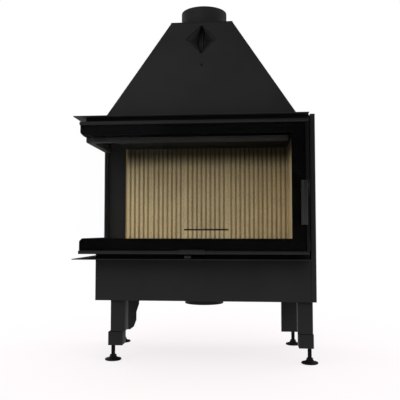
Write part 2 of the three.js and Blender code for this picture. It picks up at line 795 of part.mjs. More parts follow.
// A levelling foot: pad, hub and rod in one turned piece.
const footProfile = [
  [0, 0],
  [padRadius - 1, 0],
  [padRadius, 1],
  [padRadius, padThickness - 3],
  [hubRadius + 3, padThickness],
  [hubRadius, padThickness],
  [hubRadius, hubTop],
  [rodRadius, hubTop],
  [rodRadius, rodTop - 1.5],
  [rodRadius - 1.5, rodTop],
  [0, rodTop],
];
const footPlaces = {
  foot_front_left: [frontLeftLeg - sleeveLeftShift + rodInset, legFront + frontRodSet],
  foot_front_right: [frontRightLeg + sleeveRightShift + legWidth - rodInset, legFront + frontRodSet],
  foot_rear_left: [rearRods.left, rearRodY],
  foot_rear_right: [rearRods.right, rearRodY],
};
for (const [name, [x, y]] of Object.entries(footPlaces)) {
  const foot = add(feet, name, turned(footProfile, 0, 0, 32), blackSteel);
  foot.position.set(x, y, 0);
}

// Door --------------------------------------------------------------------------------------------

const railLeft = -doorLeft - railProud;
const railFront = -doorFront - railProud;
const railProfile = cornerBar(railLeft, doorRight, railFront, sideEnd, railDepth);
// Each rail goes on beside the column as a thin strap that carries the hinge stile.
const strapInner = columnLeft - 1.5;
const railWithStrap = (heights) => {
  const strap = block([railLeft, strapInner], [sideEnd - 1, hingeStileFront + hingeLap], heights);
  return join(raised(railProfile, heights), strap);
};
const bottomRail = railWithStrap([doorBottom, doorBottom + railHeight]);
const topRail = railWithStrap([doorTop - railHeight, doorTop]);
add(door, "door_bottom_rail", bottomRail, doorPaint);
add(door, "door_top_rail", topRail, doorPaint);

const stileLeft = doorRight - stileWidth;
const wingFront = paneBack + fit;
const stileProfile = [
  [stileLeft, railFront],
  [doorRight, railFront],
  [doorRight, wingFront + wingThickness],
  [doorRight - stileWing, wingFront + wingThickness],
  [doorRight - stileWing, wingFront],
  [stileLeft, wingFront],
];
const paneHeights = [paneBottom, paneTop];
// The handle's boss stands on the stile's wing, in a notch through the stile's front edge and the
// pane's right edge.
const spindleBore = rodAlongY(spindleRadius + 0.6, [-2 * doorFront, 0], pivotX, pivotHeight);
const bossNotch = rodAlongY(bossRadius + 1, [-2 * doorFront, wingFront], pivotX, pivotHeight);
add(door, "door_right_stile", cut(raised(stileProfile, paneHeights), bossNotch, spindleBore), doorPaint);

const frontPane = block([-doorLeft, stileLeft - fit], [-doorFront, paneBack], paneHeights);
add(door, "glass_front", cut(frontPane, bossNotch), glass);
const sidePaneX = [-doorLeft, -doorLeft + paneThickness];
add(door, "glass_side", block(sidePaneX, [wingFront, hingeStileFront - fit], paneHeights), glass);

// The hinge stile: a strap behind the side pane that ends in an eye around the hinge axis.
const strapOuter = railLeft;
const strapAndEye = new THREE.Shape();
strapAndEye.moveTo(strapOuter, hingeStileFront);
strapAndEye.lineTo(strapInner, hingeStileFront);
strapAndEye.lineTo(strapInner, hingeY);
strapAndEye.absarc(hingeX, hingeY, eyeRadius, Math.PI / 3, 1.6 * Math.PI, false);
strapAndEye.lineTo(strapOuter, hingeY - eyeRadius - 2);
const eyeBore = circleHole(hingeX, hingeY, pinRadius + fit);
add(door, "door_hinge_stile", raised(strapAndEye, paneHeights, [eyeBore], 10), doorPaint);

const pull = block(
  [pullLeft, pullLeft + pullWidth],
  [railFront - fit - pullThickness, railFront - fit],
  [doorBottom, doorBottom + pullHeight],
);
add(door, "door_pull", pull, doorPaint);

// The rope seal runs once round the door, between the glass and the fixed frame.
const sealFrontY = [wingFront, -frameFront - fit];
const sealSideX = [-doorLeft + paneThickness + fit, frameLeft - fit];
const sealLow = [paneBottom + sealInset, paneBottom + sealInset + sealWidth];
const sealHigh = [paneTop - sealInset - sealWidth, paneTop - sealInset];
const sealTall = [sealLow[0], sealHigh[1]];
const sealRightEnd = doorRight - stileWing - fit;
const sealRightX = [sealRightEnd - sealWidth, sealRightEnd];
const sealRearFront = columnFront - sealRearSet;
const sealRearY = [sealRearFront, sealRearFront + sealWidth];
const seal = join(
  block([sealSideX[0], sealRightX[1]], sealFrontY, sealLow),
  block([sealSideX[0], sealRightX[1]], sealFrontY, sealHigh),
  block(sealSideX, [sealFrontY[0], sealRearY[1]], sealLow),
  block(sealSideX, [sealFrontY[0], sealRearY[1]], sealHigh),
  block(sealRightX, sealFrontY, sealTall),
  block(sealSideX, sealRearY, sealTall),
);
add(door, "door_seal", seal, ropeSeal);

// Hinge brackets on the column, each with its pin.
const bracket = (heights, pinHeights) => {
  const arm = new THREE.Shape();
  arm.moveTo(columnLeft - fit, hingeY - eyeRadius);
  arm.lineTo(columnLeft - fit, hingeY + eyeRadius);
  arm.absarc(hingeX, hingeY, eyeRadius, Math.PI / 2, 1.5 * Math.PI, false);
  return join(raised(arm, heights, [], 12), rodAlongZ(pinRadius, pinHeights, hingeX, hingeY));
};
const lowArm = [paneBottom - fit - bracketHeight, paneBottom - fit];
const highArm = [paneTop + fit, paneTop + fit + bracketHeight];
const lowPin = [lowArm[0] + 2, paneBottom + pinReach];
const highPin = [paneTop - pinReach, highArm[1] - 2];
add(body, "hinge_bracket_lower", bracket(lowArm, lowPin), fireboxSteel);
add(body, "hinge_bracket_upper", bracket(highArm, highPin), fireboxSteel);

// Handle and latch --------------------------------------------------------------------------------

const bossBack = wingFront - fit;
const bossFront = bossBack - bossLength;
const boss = rodAlongY(bossRadius, [bossFront, bossBack], pivotX, pivotHeight);
add(door, "handle_boss", cut(boss, spindleBore), doorPaint);

// The handle group's origin is the pivot, so the lever and the cam are drawn around it.
const leverHalf = leverWidth / 2;
const leverShape = new THREE.Shape();
const round = leverRound;
const [leverX0, leverX1] = [-leverOffset - leverHalf, -leverOffset + leverHalf];
leverShape.moveTo(leverX0 + round, -leverDrop);
leverShape.lineTo(leverX1 - round, -leverDrop);
leverShape.absarc(leverX1 - round, -leverDrop + round, round, -Math.PI / 2, 0);
leverShape.lineTo(leverX1, leverRise - round);
leverShape.absarc(leverX1 - round, leverRise - round, round, 0, Math.PI / 2);
leverShape.lineTo(leverX0 + round, leverRise);
leverShape.absarc(leverX0 + round, leverRise - round, round, Math.PI / 2, Math.PI);
leverShape.lineTo(leverX0, -leverDrop + round);
leverShape.absarc(leverX0 + round, -leverDrop + round, round, Math.PI, 1.5 * Math.PI);
const leverBack = bossFront - fit;
const camBack = wingFront + wingThickness + fit + camThickness;
const lever = join(
  upright(leverShape, [leverBack - leverDepth, leverBack], [], 5),
  rodAlongY(bossRadius, [leverBack - leverDepth / 2, leverBack], 0, 0),
  rodAlongY(spindleRadius, [leverBack - 2, camBack - camThickness - fit], 0, 0),
);
add(handle, "handle_lever", lever, doorPaint);

const camHub = rodAlongY(camHeight, [camBack - camThickness, camBack], 0, 0);
const tongue = block([0, camReach], [camBack - camThickness, camBack], [-camHeight / 2, camHeight / 2]);
add(handle, "latch_cam", join(camHub, tongue), fireboxSteel);

const keeperLeft = pivotX + camReach + keeperClearance;
const keeper = block(
  [keeperLeft, frameRightEnd],
  [camBack - camThickness, -frameFront - fit],
  [pivotHeight - keeperHeight / 2, pivotHeight + keeperHeight / 2],
);
add(body, "latch_keeper", keeper, fireboxSteel);

// The whole stands centred on the origin: the box runs from the flanges' left edge to the casing or a
// foot on the right, and from the handle's front to the casing or a foot at the back.
const frontReach = leverBack - leverDepth;
const rightReach = Math.max(casingWidth, footPlaces.foot_front_right[0] + padRadius);
const backReach = Math.max(casingDepth, rearRodY + padRadius);
stove.position.set((flangeLeft - rightReach) / 2, -(backReach + frontReach) / 2, 0);

export default stove;
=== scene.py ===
"""The looks of a corner fireplace insert, made around its packed steelwork.

The file is laid out as an add-on and run as a script. Each operator makes one group of pieces.
"""

import json
import math

import bmesh
import bpy
from bpy.types import Operator, PropertyGroup
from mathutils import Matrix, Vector

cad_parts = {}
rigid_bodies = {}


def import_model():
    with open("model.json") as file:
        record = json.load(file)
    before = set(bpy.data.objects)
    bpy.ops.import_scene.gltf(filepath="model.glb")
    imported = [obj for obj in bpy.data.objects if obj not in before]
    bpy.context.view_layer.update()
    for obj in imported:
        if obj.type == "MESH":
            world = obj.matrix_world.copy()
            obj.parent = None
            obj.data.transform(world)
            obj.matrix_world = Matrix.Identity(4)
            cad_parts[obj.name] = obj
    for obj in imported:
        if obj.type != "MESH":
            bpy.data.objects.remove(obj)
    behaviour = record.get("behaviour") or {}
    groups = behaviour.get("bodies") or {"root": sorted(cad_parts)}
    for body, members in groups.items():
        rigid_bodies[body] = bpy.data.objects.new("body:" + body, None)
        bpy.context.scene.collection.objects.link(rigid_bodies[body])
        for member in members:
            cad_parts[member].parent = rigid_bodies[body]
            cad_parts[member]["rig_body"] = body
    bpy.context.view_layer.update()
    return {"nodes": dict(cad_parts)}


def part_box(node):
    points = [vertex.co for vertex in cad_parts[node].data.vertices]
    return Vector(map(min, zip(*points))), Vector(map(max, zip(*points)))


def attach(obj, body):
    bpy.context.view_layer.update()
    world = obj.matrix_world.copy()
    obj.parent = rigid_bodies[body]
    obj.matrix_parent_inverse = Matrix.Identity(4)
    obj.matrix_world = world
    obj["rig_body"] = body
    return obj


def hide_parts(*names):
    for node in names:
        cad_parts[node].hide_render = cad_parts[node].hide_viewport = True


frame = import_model()

bl_info = {
    "name": "Corner Fireplace Insert",
    "version": (1, 0, 0),
    "blender": (4, 5, 0),
    "location": "View3D > Sidebar > Fireplace",
    "description": "Finishes, seals, fasteners, seams and glass of a corner fireplace insert",
    "category": "Object",
}

MM = 0.001
WHITE = (1.0, 1.0, 1.0)

# Sizes of the steelwork in millimetres. The hood's front sheet leans back from its foot.
CASING_WIDTH, CASING_DEPTH = 794, 410
HOOD_FRONT, HOOD_FOOT = 10, 885.9
HOOD_LEAN, HOOD_RISE = 77, 381.2

CASING_CORNER = Vector((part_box("casing_front")[0].x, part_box("casing_front")[0].y, 0.0))


def at(x, y, z):
    """A place in millimetres from the lower casing's left edge, its front face and the floor."""
    return CASING_CORNER + Vector((x, y, z)) * MM


def middle(node):
    """The middle of a node's box."""
    low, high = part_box(node)
    return (low + high) / 2


# Settings ----------------------------------------------------------------------------------------


def length(name, description, default, high=1.0):
    return bpy.props.FloatProperty(
        name=name, description=description, default=default, min=0.0, max=high,
        unit="LENGTH", precision=5,
    )


def level(name, description, default):
    return length(name, description, default, 2.0)


def color(name, description, default):
    return bpy.props.FloatVectorProperty(
        name=name, description=description, default=default, min=0.0, max=1.0,
        size=3, subtype="COLOR",
    )


def share(name, description, default):
    return bpy.props.FloatProperty(
        name=name, description=description, default=default, min=0.0, max=1.0, subtype="FACTOR"
    )


def number(name, description, default):
    return bpy.props.FloatProperty(
        name=name, description=description, default=default, min=0.0, max=1000.0
    )


def turning(name, description, degrees):
    return bpy.props.FloatProperty(
        name=name, description=description, default=math.radians(degrees), subtype="ANGLE"
    )


class FinishSettings(PropertyGroup):
    casing: color("Casing paint", "Paint of the casing, flanges and hood", (0.0142, 0.0142, 0.0143))
    door: color("Door paint", "Paint of the door's rails and stiles", (0.0095, 0.0095, 0.0097))
    grip: color("Handle paint", "Lighter paint of the handle", (0.0088, 0.0098, 0.0101))
    firebox: color("Firebox paint", "Paint of the firebox's steel", (0.0225, 0.0222, 0.0230))
    # A darker copy of the firebox paint, for steel that lies in shade: painted shade.
    sooted: color("Darkened steel", "Steel under the roof and by the door", (0.0060, 0.0059, 0.0058))
    stile: color("Right stile", "Blackened stile on the handle side", (0.0030,) * 3)
    coated: color("Coated steel", "Steel of the feet and the air spigot", (0.0055, 0.0055, 0.0057))
    iron: color("Cast iron", "Grate", (0.014, 0.0138, 0.0135))
    print_black: color("Printed border", "Black border on the back of the glass", (0.0007,) * 3)
    board: color("Lining board", "Fluted vermiculite board", (0.76, 0.635, 0.385))
    brick: color("Hearth brick", "Plain vermiculite brick", (0.50, 0.40, 0.23))
    rope: color("Rope seal", "Braided glass-fibre rope", (0.028, 0.026, 0.024))
    paint_roughness: share("Paint roughness", "Roughness of the casing paint", 0.58)


# Painted shade on the lining boards: where it starts and is darkest under the roof, how dark it is
# there, down the flutes and along the joint, and the width of the brown shade at the left edge.
class BoardShadeSettings(PropertyGroup):
    start: level("Start", "Height where the soot starts", 0.722)
    full: level("Full", "Height of the thickest soot", 0.796)
    roof: share("Roof", "Darkening on the boards under the roof", 0.93)
    flute: share("Flutes", "Darkening at the bottom of the flutes", 0.38)
    edge: length("Shadowed edge", "Width of the brown edge beside the left column", 0.0055)
    joint: share("Joint", "Darkening along the joint across the middle board", 1.0)


class EdgeSettings(PropertyGroup):
    sheet: length("Sheet edges", "Rounding along the edges of folded and cut sheet", 0.0007)
    rail: length("Rail edges", "Rounding along the door's rails", 0.0016)
    board: length("Board edges", "Rounding along the edges of the lining boards", 0.0009)
    casting: length("Casting edges", "Rounding along the edges of the grate", 0.0012)
    glass: length("Glass edges", "Ground edge of the panes", 0.0005)


class PrintSettings(PropertyGroup):
    top: level("Top border", "Lower edge of the top border above the floor", 0.8187)
    bottom: level("Bottom border", "Upper edge of the bottom border above the floor", 0.4446)
    right: length("Right border", "Width of the border on the handle side", 0.0494)
    round_width: length("Rounding width", "Width of the rounding at the glass corner", 0.026)
    round_height: length("Rounding height", "Height of the rounding at the glass corner", 0.013)
    thickness: length("Thickness", "Thickness of the printed layer", 0.0002)
    gap: length("Gap", "Distance between the pane and its printed layer", 0.00004)


class FastenerSettings(PropertyGroup):
    radius: length("Flange radius", "Radius of a screw's flange", 0.0052)
    height: length("Height", "Height of a screw head above the sheet", 0.0015)
    hex_radius: length("Hexagon radius", "Corner radius of the hexagon", 0.0036)


class SeamSettings(PropertyGroup):
    bead: length("Bead radius", "Radius of one weld bead", 0.0014)
    pitch: length("Bead pitch", "Distance between two beads", 0.0019)
    inset: length("Inset", "How far the bead's middle lies inside the corner", 0.0012)


class SealSettings(PropertyGroup):
    radius: length("Rope radius", "Radius of the rope", 0.0058)
    pitch: length("Twist", "Length of one turn of the rope", 0.022)
    corner: length("Corner radius", "Radius of the rope's bends", 0.016)


class VentSettings(PropertyGroup):
    slot: length("Slot", "Width of the slot between the leaves at its middle", 0.036)
    depth: length("Depth", "How far the leaves go in at the slot", 0.034)
    rim: length("Rim", "How far the leaves start behind the sheet", 0.004)
    rod: length("Rod radius", "Radius of the stay behind the slot", 0.0022)


class FootSettings(PropertyGroup):
    thread_pitch: length("Thread pitch", "Pitch of the foot's thread", 0.002)
    core: length("Core radius", "Radius of the rod at the bottom of its thread", 0.0067)


class StageSettings(PropertyGroup):
    floor: color("Floor", "Colour of the pale floor", (0.985, 0.950, 0.958))
    sky: number("Room light", "Soft light from above", 1.25)
    horizon: number("Side light", "Soft light from the sides", 0.85)
    mirrored: number("Mirrored light", "How bright glossy surfaces see the room", 0.12)
    mirrored_floor: number("Mirrored floor", "How bright glossy surfaces see the floor", 0.62)
    shade: share("Floor shade", "How strongly the object shades the floor", 0.22)
    bounce: number("Floor bounce", "Light that the floor gives back", 0.36)
    key: number("Key light", "Power of the softbox in front", 8.5)
    rim: number("Rim light", "Power of the softboxes behind", 10.0)


class CameraSettings(PropertyGroup):
    place: bpy.props.FloatVectorProperty(
        name="Place", description="Where the camera stands",
        default=(0.19795, -2.1950, 0.4687), size=3, subtype="XYZ",
    )
    yaw: turning("Yaw", "Turn to the left", 5.043)
    pitch: turning("Pitch", "Tilt upwards", 3.181)
    lens: number("Lens", "Focal length in millimetres", 51.23)
    sensor: number("Sensor", "Sensor width in millimetres", 36.0)


def group(kind):
    return bpy.props.PointerProperty(type=kind)


class FireplaceSettings(PropertyGroup):
    finish: group(FinishSettings)
    # Painted shade on the lining boards.
    soot: group(BoardShadeSettings)
    edges: group(EdgeSettings)
    border: group(PrintSettings)
    fasteners: group(FastenerSettings)
    seams: group(SeamSettings)
    seal: group(SealSettings)
    vent: group(VentSettings)
    feet: group(FootSettings)
    stage: group(StageSettings)
    camera: group(CameraSettings)


def settings():
    return bpy.context.scene.fireplace


# Node trees --------------------------------------------------------------------------------------


class Wire:
    """A socket in a node tree. Arithmetic on it adds Math nodes to the tree."""

    def __init__(self, tree, socket):
        self.tree = tree
        self.socket = socket

    def math(self, operation, *values):
        """An operation on the values, or on this socket alone."""
        inputs = dict(enumerate(values or (self,)))
        return self.tree.node("ShaderNodeMath", {"operation": operation}, inputs)

    def __add__(self, other):
        return self.math("ADD", self, other)

    __radd__ = __add__

    def __sub__(self, other):
        return self.math("SUBTRACT", self, other)

    def __rsub__(self, other):
        return self.math("SUBTRACT", other, self)

    def __mul__(self, other):
        return self.math("MULTIPLY", self, other)

    __rmul__ = __mul__

    def __truediv__(self, other):
        return self.math("DIVIDE", self, other)

    def __pow__(self, other):
        return self.math("POWER", self, other)

    def ramp(self, low, high):
        """0 below low, 1 above high and a smooth rise between."""
        return self.tree.node(
            "ShaderNodeMapRange",
            {"interpolation_type": "SMOOTHSTEP"},
            {0: self, 1: low, 2: high, 3: 0.0, 4: 1.0},
        )


class Tree:
    """Adds nodes to a tree: a node's settings first, then its socket values and links."""

    def __init__(self, nodes):
        self.nodes = nodes

    def node(self, kind, options=None, inputs=None, output=0):
        made = self.nodes.nodes.new(kind)
        for name, value in (options or {}).items():
            setattr(made, name, value)
        for key, value in (inputs or {}).items():
            self.feed(made.inputs[key], value)
        return Wire(self, made.outputs[output]) if made.outputs else made

    def feed(self, socket, value):
        if isinstance(value, Wire):
            self.nodes.links.new(value.socket, socket)
        elif socket.type == "RGBA" and len(value) == 3:
            socket.default_value = (*value, 1.0)
        else:
            socket.default_value = value

    def blend(self, first, second, factor):
        """A colour between two colours."""
        inputs = {0: factor, 6: first, 7: second}
        return self.node("ShaderNodeMix", {"data_type": "RGBA"}, inputs, output=2)

    def mixed(self, first, second, factor):
        """A shader between two shaders."""
        return self.node("ShaderNodeMixShader", None, {0: factor, 1: first, 2: second})

    def ray(self, kind):
        """1 for rays of that kind and 0 for the others."""
        return self.node("ShaderNodeLightPath", output=f"Is {kind} Ray")


class Finish(Tree):
    """A material and its tree."""

    def __init__(self, name):
        self.material = bpy.data.materials.new(name)
        self.material.use_nodes = True
        super().__init__(self.material.node_tree)
        self.nodes.nodes.clear()

    def place(self):
        return self.node("ShaderNodeTexCoord", output="Object")

    def along(self, axis):
        """The height or distance along one axis."""
        return self.node("ShaderNodeSeparateXYZ", None, {0: self.place()}, output=axis)

    def noise(self, scale, detail=2.0, roughness=0.5):
        inputs = {"Vector": self.place(), "Scale": scale, "Detail": detail, "Roughness": roughness}
        return self.node("ShaderNodeTexNoise", None, inputs)

    def bump(self, height, strength, distance):
        inputs = {"Strength": strength, "Distance": distance, "Height": height}
        return self.node("ShaderNodeBump", None, inputs)

    def surface(self, **inputs):
        """The material with one shader, from that shader's inputs."""
        named = {name.replace("_", " "): value for name, value in inputs.items()}
        return self.shown(self.node("ShaderNodeBsdfPrincipled", None, named))

    def shown(self, shader):
        self.node("ShaderNodeOutputMaterial", None, {"Surface": shader})
        return self.material


class Pattern(Tree):
    """A geometry tree with named sizes. What a run makes is kept as a plain mesh."""

    KINDS = {float: "NodeSocketFloat", int: "NodeSocketInt", Vector: "NodeSocketVector"}

    def __init__(self, name, material, **sizes):
        group = bpy.data.node_groups.new(name, "GeometryNodeTree")
        super().__init__(group)
        group.interface.new_socket("Geometry", in_out="INPUT", socket_type="NodeSocketGeometry")
        group.interface.new_socket("Geometry", in_out="OUTPUT", socket_type="NodeSocketGeometry")
        self.values = {}
        self.identifiers = {}
        for label, value in {**sizes, "material": material}.items():
            kind = self.KINDS.get(type(value), "NodeSocketMaterial")
            socket = group.interface.new_socket(label, in_out="INPUT", socket_type=kind)
            self.values[label] = value
            self.identifiers[label] = socket.identifier
        self.entry = group.nodes.new("NodeGroupInput")

    def size(self, label):
        return Wire(self, self.entry.outputs[label])

    def line(self, step):
        """The source's edges as a curve with evenly spaced points."""
        curve = self.node("GeometryNodeMeshToCurve", None, {"Mesh": self.size("Geometry")})
        inputs = {"Curve": curve, "Length": step}
        return self.node("GeometryNodeResampleCurve", {"mode": "LENGTH"}, inputs)

    def random(self, low, high):
        inputs = {2: low, 3: high, "Seed": self.size("seed")}
        return self.node("FunctionNodeRandomValue", {"data_type": "FLOAT"}, inputs, output=1)

    def ends_with(self, geometry):
        real = self.node("GeometryNodeRealizeInstances", None, {0: geometry})
        inputs = {"Geometry": real, "Material": self.size("material")}
        painted = self.node("GeometryNodeSetMaterial", None, inputs)
        self.node("NodeGroupOutput", None, {0: painted})

    def run(self, name, source, **changes):
        """Runs the tree on a mesh and returns the result."""
        holder = bpy.data.objects.new(name, source)
        bpy.context.scene.collection.objects.link(holder)
        modifier = holder.modifiers.new("pattern", "NODES")
        modifier.node_group = self.nodes
        for label, value in {**self.values, **changes}.items():
            modifier[self.identifiers[label]] = value
        graph = bpy.context.evaluated_depsgraph_get()
        made = bpy.data.meshes.new_from_object(holder.evaluated_get(graph), depsgraph=graph)
        bpy.data.objects.remove(holder)
        if not made.polygons:
            raise RuntimeError(f"{name} came out empty")
        return made


# Finishes ----------------------------------------------------------------------------------------


# Where the painted shade on the boards thins out: down a flute, away from the joint and away from
# the shaded left edge.
FLUTE_FADE = (0.8 * MM, 5.0 * MM)
JOINT_FADE = (2.2 * MM, 4.0 * MM)
EDGE_SHADE_FADE = 1.5 * MM
# How dark the painted shade gets, as a share of the board's tone.
PAINTED_SHADE_TONE = 0.06
# How much the glass mirrors when seen head on, and how much more at a glancing view.
HEAD_ON, GLANCING = 0.0018, 0.08
# The distances from the object between which the floor fades to white, and where it ends.
FLOOR_FADE = (0.6, 2.6)
FLOOR_RADIUS = 60.0


def toned(tone, *factors):
    """A colour times one factor, or times one factor for each channel."""
    return [c * factor for c, factor in zip(tone, factors * 3)]


def painted_steel(name, tone, roughness, mirror, grain=0.10):
    """Sprayed heat-resistant paint: an uneven tone, a fine pebbled skin and faint rubbed spots."""
    made = Finish(name)
    cloud = made.noise(6.0, 4.0)
    skin = made.noise(1900.0, 1.0)
    rubbed = made.noise(42.0, 5.0, 0.65).ramp(0.60, 0.78)
    worn = [c + 0.0008 for c in toned(tone, 1.35)]
    base = made.blend(toned(tone, 0.88), toned(tone, 1.13), cloud.ramp(0.3, 0.7))
    return made.surface(
        Base_Color=made.blend(base, worn, rubbed * 0.35),
        Roughness=roughness + 0.14 * (cloud - 0.5) - 0.06 * rubbed,
        Normal=made.bump(skin, grain, 0.0003),
        Specular_IOR_Level=mirror,
    )


def sooted(made, base, tone, brown):
    """Painted shade on the lining boards: darker under the roof, down in the flutes and along the
    joint, and painted brown shade along the left edge beside the column.
    """
    soot = settings().soot
    low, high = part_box("lining_centre_lower")
    x, y, z = (made.along(axis) for axis in "XYZ")
    # Each mask below paints shade where it falls on the boards.
    under_roof = z.ramp(soot.start, soot.full) * soot.roof
    down = y.ramp(*(low.y + fade for fade in FLUTE_FADE)) * soot.flute
    joint = 1.0 - (z - high.z - MM).math("ABSOLUTE").ramp(*JOINT_FADE)
    joint = joint * x.ramp(low.x - MM, low.x) * (1.0 - x.ramp(high.x, high.x + MM)) * soot.joint
    for part in (under_roof, down, joint):
        base = made.blend(base, toned(tone, PAINTED_SHADE_TONE), part)
    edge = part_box("lining_outer_left")[0].x + soot.edge
    return made.blend(base, brown, 1.0 - x.ramp(edge, edge + EDGE_SHADE_FADE))


def pressed_board(name, tone, fluted=False):
    """Pressed vermiculite: a pale base, small golden and dark flakes and a slightly open surface.

    A fluted board stands at the back of the fire, so painted shade is laid on it too.
    """
    made = Finish(name)
    cell = {"Vector": made.place(), "Scale": 520.0}
    flake = made.node("ShaderNodeTexVoronoi", None, cell, output="Color")
    pick = made.node("ShaderNodeSeparateColor", None, {0: flake})
    cloud = made.noise(14.0, 4.0)
    pores = made.noise(700.0, 3.0)
    golden = toned(tone, 1.30, 1.14, 0.86)
    brown = toned(tone, 0.52, 0.46, 0.40)
    base = made.blend(toned(tone, 0.93), toned(tone, 1.04), cloud.ramp(0.25, 0.75))
    base = made.blend(base, golden, pick.ramp(0.86, 0.92) * 0.7)
    base = made.blend(base, brown, (1.0 - pick).ramp(0.90, 0.96) * 0.8)
    return made.surface(
        # Only the fluted boards get the painted shade.
        Base_Color=sooted(made, base, tone, brown) if fluted else base,
        Roughness=0.9 + 0.08 * (pores - 0.5),
        Normal=made.bump(pores + 0.5 * pick, 0.25, 0.0006),
        Specular_IOR_Level=0.15,
    )


def rough_casting(name, tone):
    """Cast iron with its sand-cast skin."""
    made = Finish(name)
    sand = made.noise(420.0, 4.0, 0.6)
    return made.surface(
        Base_Color=made.blend(toned(tone, 0.8), toned(tone, 1.3), made.noise(25.0, 3.0)),
        Roughness=0.72 + 0.2 * (sand - 0.5),
        Normal=made.bump(sand, 0.5, 0.0006),
        Specular_IOR_Level=0.3,
    )


def twisted_rope(name, tone):
    """Glass-fibre yarn, with its fibres as fine streaks."""
    made = Finish(name)
    fibre = made.noise(2600.0, 2.0)
    cloud = made.noise(90.0, 2.0)
    return made.surface(
        Base_Color=made.blend(toned(tone, 0.6), toned(tone, 1.7), 0.6 * fibre + 0.4 * cloud),
        Roughness=0.9 + 0.1 * (cloud - 0.5),
        Normal=made.bump(fibre, 0.5, 0.0005),
        Specular_IOR_Level=0.1,
    )


def clear_pane(name):
    """Clear ceramic glass: see-through, with a reflection that grows towards a glancing view."""
    made = Finish(name)
    clear = made.node("ShaderNodeBsdfTransparent", None, {"Color": WHITE})
    mirror = made.node("ShaderNodeBsdfAnisotropic", None, {"Color": WHITE, "Roughness": 0.03})
    edge = made.node("ShaderNodeLayerWeight", None, {"Blend": 0.18}, output="Facing")
    return made.shown(made.mixed(clear, mirror, HEAD_ON + GLANCING * edge**4.0))


def floor_finish(name, stage):
    """Pale floor: soft shade near the object, white far away, and little light given back."""
    made = Finish(name)

    def glow(tone, strength):
        return made.node("ShaderNodeEmission", None, {"Color": tone, "Strength": strength})

    place = {0: made.place()}
    away = made.node("ShaderNodeVectorMath", {"operation": "LENGTH"}, place, output="Value")
    matt = made.node("ShaderNodeBsdfDiffuse", None, {"Color": stage.floor})
    near = made.mixed(glow(stage.floor, 1.0), matt, stage.shade)
    seen = made.mixed(near, glow(WHITE, 1.0), away.ramp(*FLOOR_FADE))
    seen = made.mixed(seen, glow(WHITE, stage.mirrored_floor), made.ray("Glossy"))
    return made.shown(made.mixed(seen, glow(WHITE, stage.bounce), made.ray("Diffuse")))


def finish(name):
    """The material of that name, made when it is first asked for."""
    title = f"{name}_finish"
    if title in bpy.data.materials:
        return bpy.data.materials[title]
    s = settings().finish
    # Tone, roughness, how much it mirrors and the depth of the grain.
    painted = {
        "casing_paint": (s.casing, s.paint_roughness, 0.28),
        "door_paint": (s.door, 0.42, 0.38, 0.05),
        "handle_paint": (s.grip, 0.40, 0.5, 0.05),
        "firebox_steel": (s.firebox, 0.66, 0.2),
        "black_steel": (s.coated, 0.50, 0.22, 0.04),
        "print_black": (s.print_black, 0.35, 0.03, 0.0),
        # The darker copy of the firebox paint is painted shade on steel that lies in shade.
        "sooted_steel": (s.sooted, 0.75, 0.12),
        "stile_black": (s.stile, 0.5, 0.15, 0.05),
    }
    others = {
        "cast_iron": lambda: rough_casting(title, s.iron),
        "fireboard": lambda: pressed_board(title, s.board, True),
        "hearth_brick": lambda: pressed_board(title, s.brick),
        "rope_seal": lambda: twisted_rope(title, s.rope),
        "glass": lambda: clear_pane(title),
    }
    return painted_steel(title, *painted[name]) if name in painted else others[name]()


# Meshes ------------------------------------------------------------------------------------------

FLAT = math.radians(0.5)
CURVED = math.radians(40.0)
ROUND = 2 * math.pi


def arc(radius, steps, start=0.0, sweep=ROUND):
    """Evenly spaced points on an arc about the origin, with both ends."""
    angles = (start + sweep * i / steps for i in range(steps + 1))
    return [(radius * math.cos(angle), radius * math.sin(angle)) for angle in angles]


def piece(name, mesh, body, slot, look=None, replaced=()):
    """A new piece that rides on a body."""
    if look or not mesh.materials:
        mesh.materials.clear()
        mesh.materials.append(finish(look or slot))
    made = bpy.data.objects.new(name, mesh)
    bpy.context.scene.collection.objects.link(made)
    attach(made, body)
    if replaced:
        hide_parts(*replaced)
    return made


def closed(bm, name, smooth=True):
    """A mesh from a closed shell: doubles merged, faces outwards, curved faces smooth."""
    bmesh.ops.remove_doubles(bm, verts=bm.verts, dist=1e-6)
    bmesh.ops.recalc_face_normals(bm, faces=bm.faces)
    if smooth:
        smooth_curves(bm)
    mesh = bpy.data.meshes.new(name)
    bm.to_mesh(mesh)
    bm.free()
    mesh.set_sharp_from_angle(angle=CURVED)
    return mesh


def smooth_curves(bm):
    """Faces that meet a neighbour at a slight angle are parts of a curve."""
    for face in bm.faces:
        angles = [edge.calc_face_angle(0.0) for edge in face.edges]
        face.smooth = any(FLAT < angle < CURVED for angle in angles)


def round_edges(bm, width, segments=2):
    """Rounds every sharp edge and shades the rounding smooth."""
    smooth_curves(bm)
    sharp = [e for e in bm.edges if e.is_manifold and e.calc_face_angle(0.0) > CURVED]
    if not sharp or width <= 0:
        return
    made = bmesh.ops.bevel(
        bm, geom=sharp, offset=width, offset_type="OFFSET", segments=segments, profile=0.5,
        affect="EDGES", clamp_overlap=True,
    )
    for face in made["faces"]:
        face.smooth = True


def softened(node, width, slot, look=None):
    """A copy of a node with rounded edges, which stands for it."""
    source = frame["nodes"][node]
    bm = bmesh.new()
    bm.from_mesh(source.data)
    bmesh.ops.remove_doubles(bm, verts=bm.verts, dist=2e-6)
    bmesh.ops.dissolve_limit(
        bm, angle_limit=FLAT, use_dissolve_boundaries=False, verts=bm.verts, edges=bm.edges
    )
    round_edges(bm, width)
    mesh = bpy.data.meshes.new(f"{node}_finished")
    bm.to_mesh(mesh)
    bm.free()
    mesh.set_sharp_from_angle(angle=CURVED)
    return piece(f"{node}_finished", mesh, source["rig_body"], slot, look, [node])


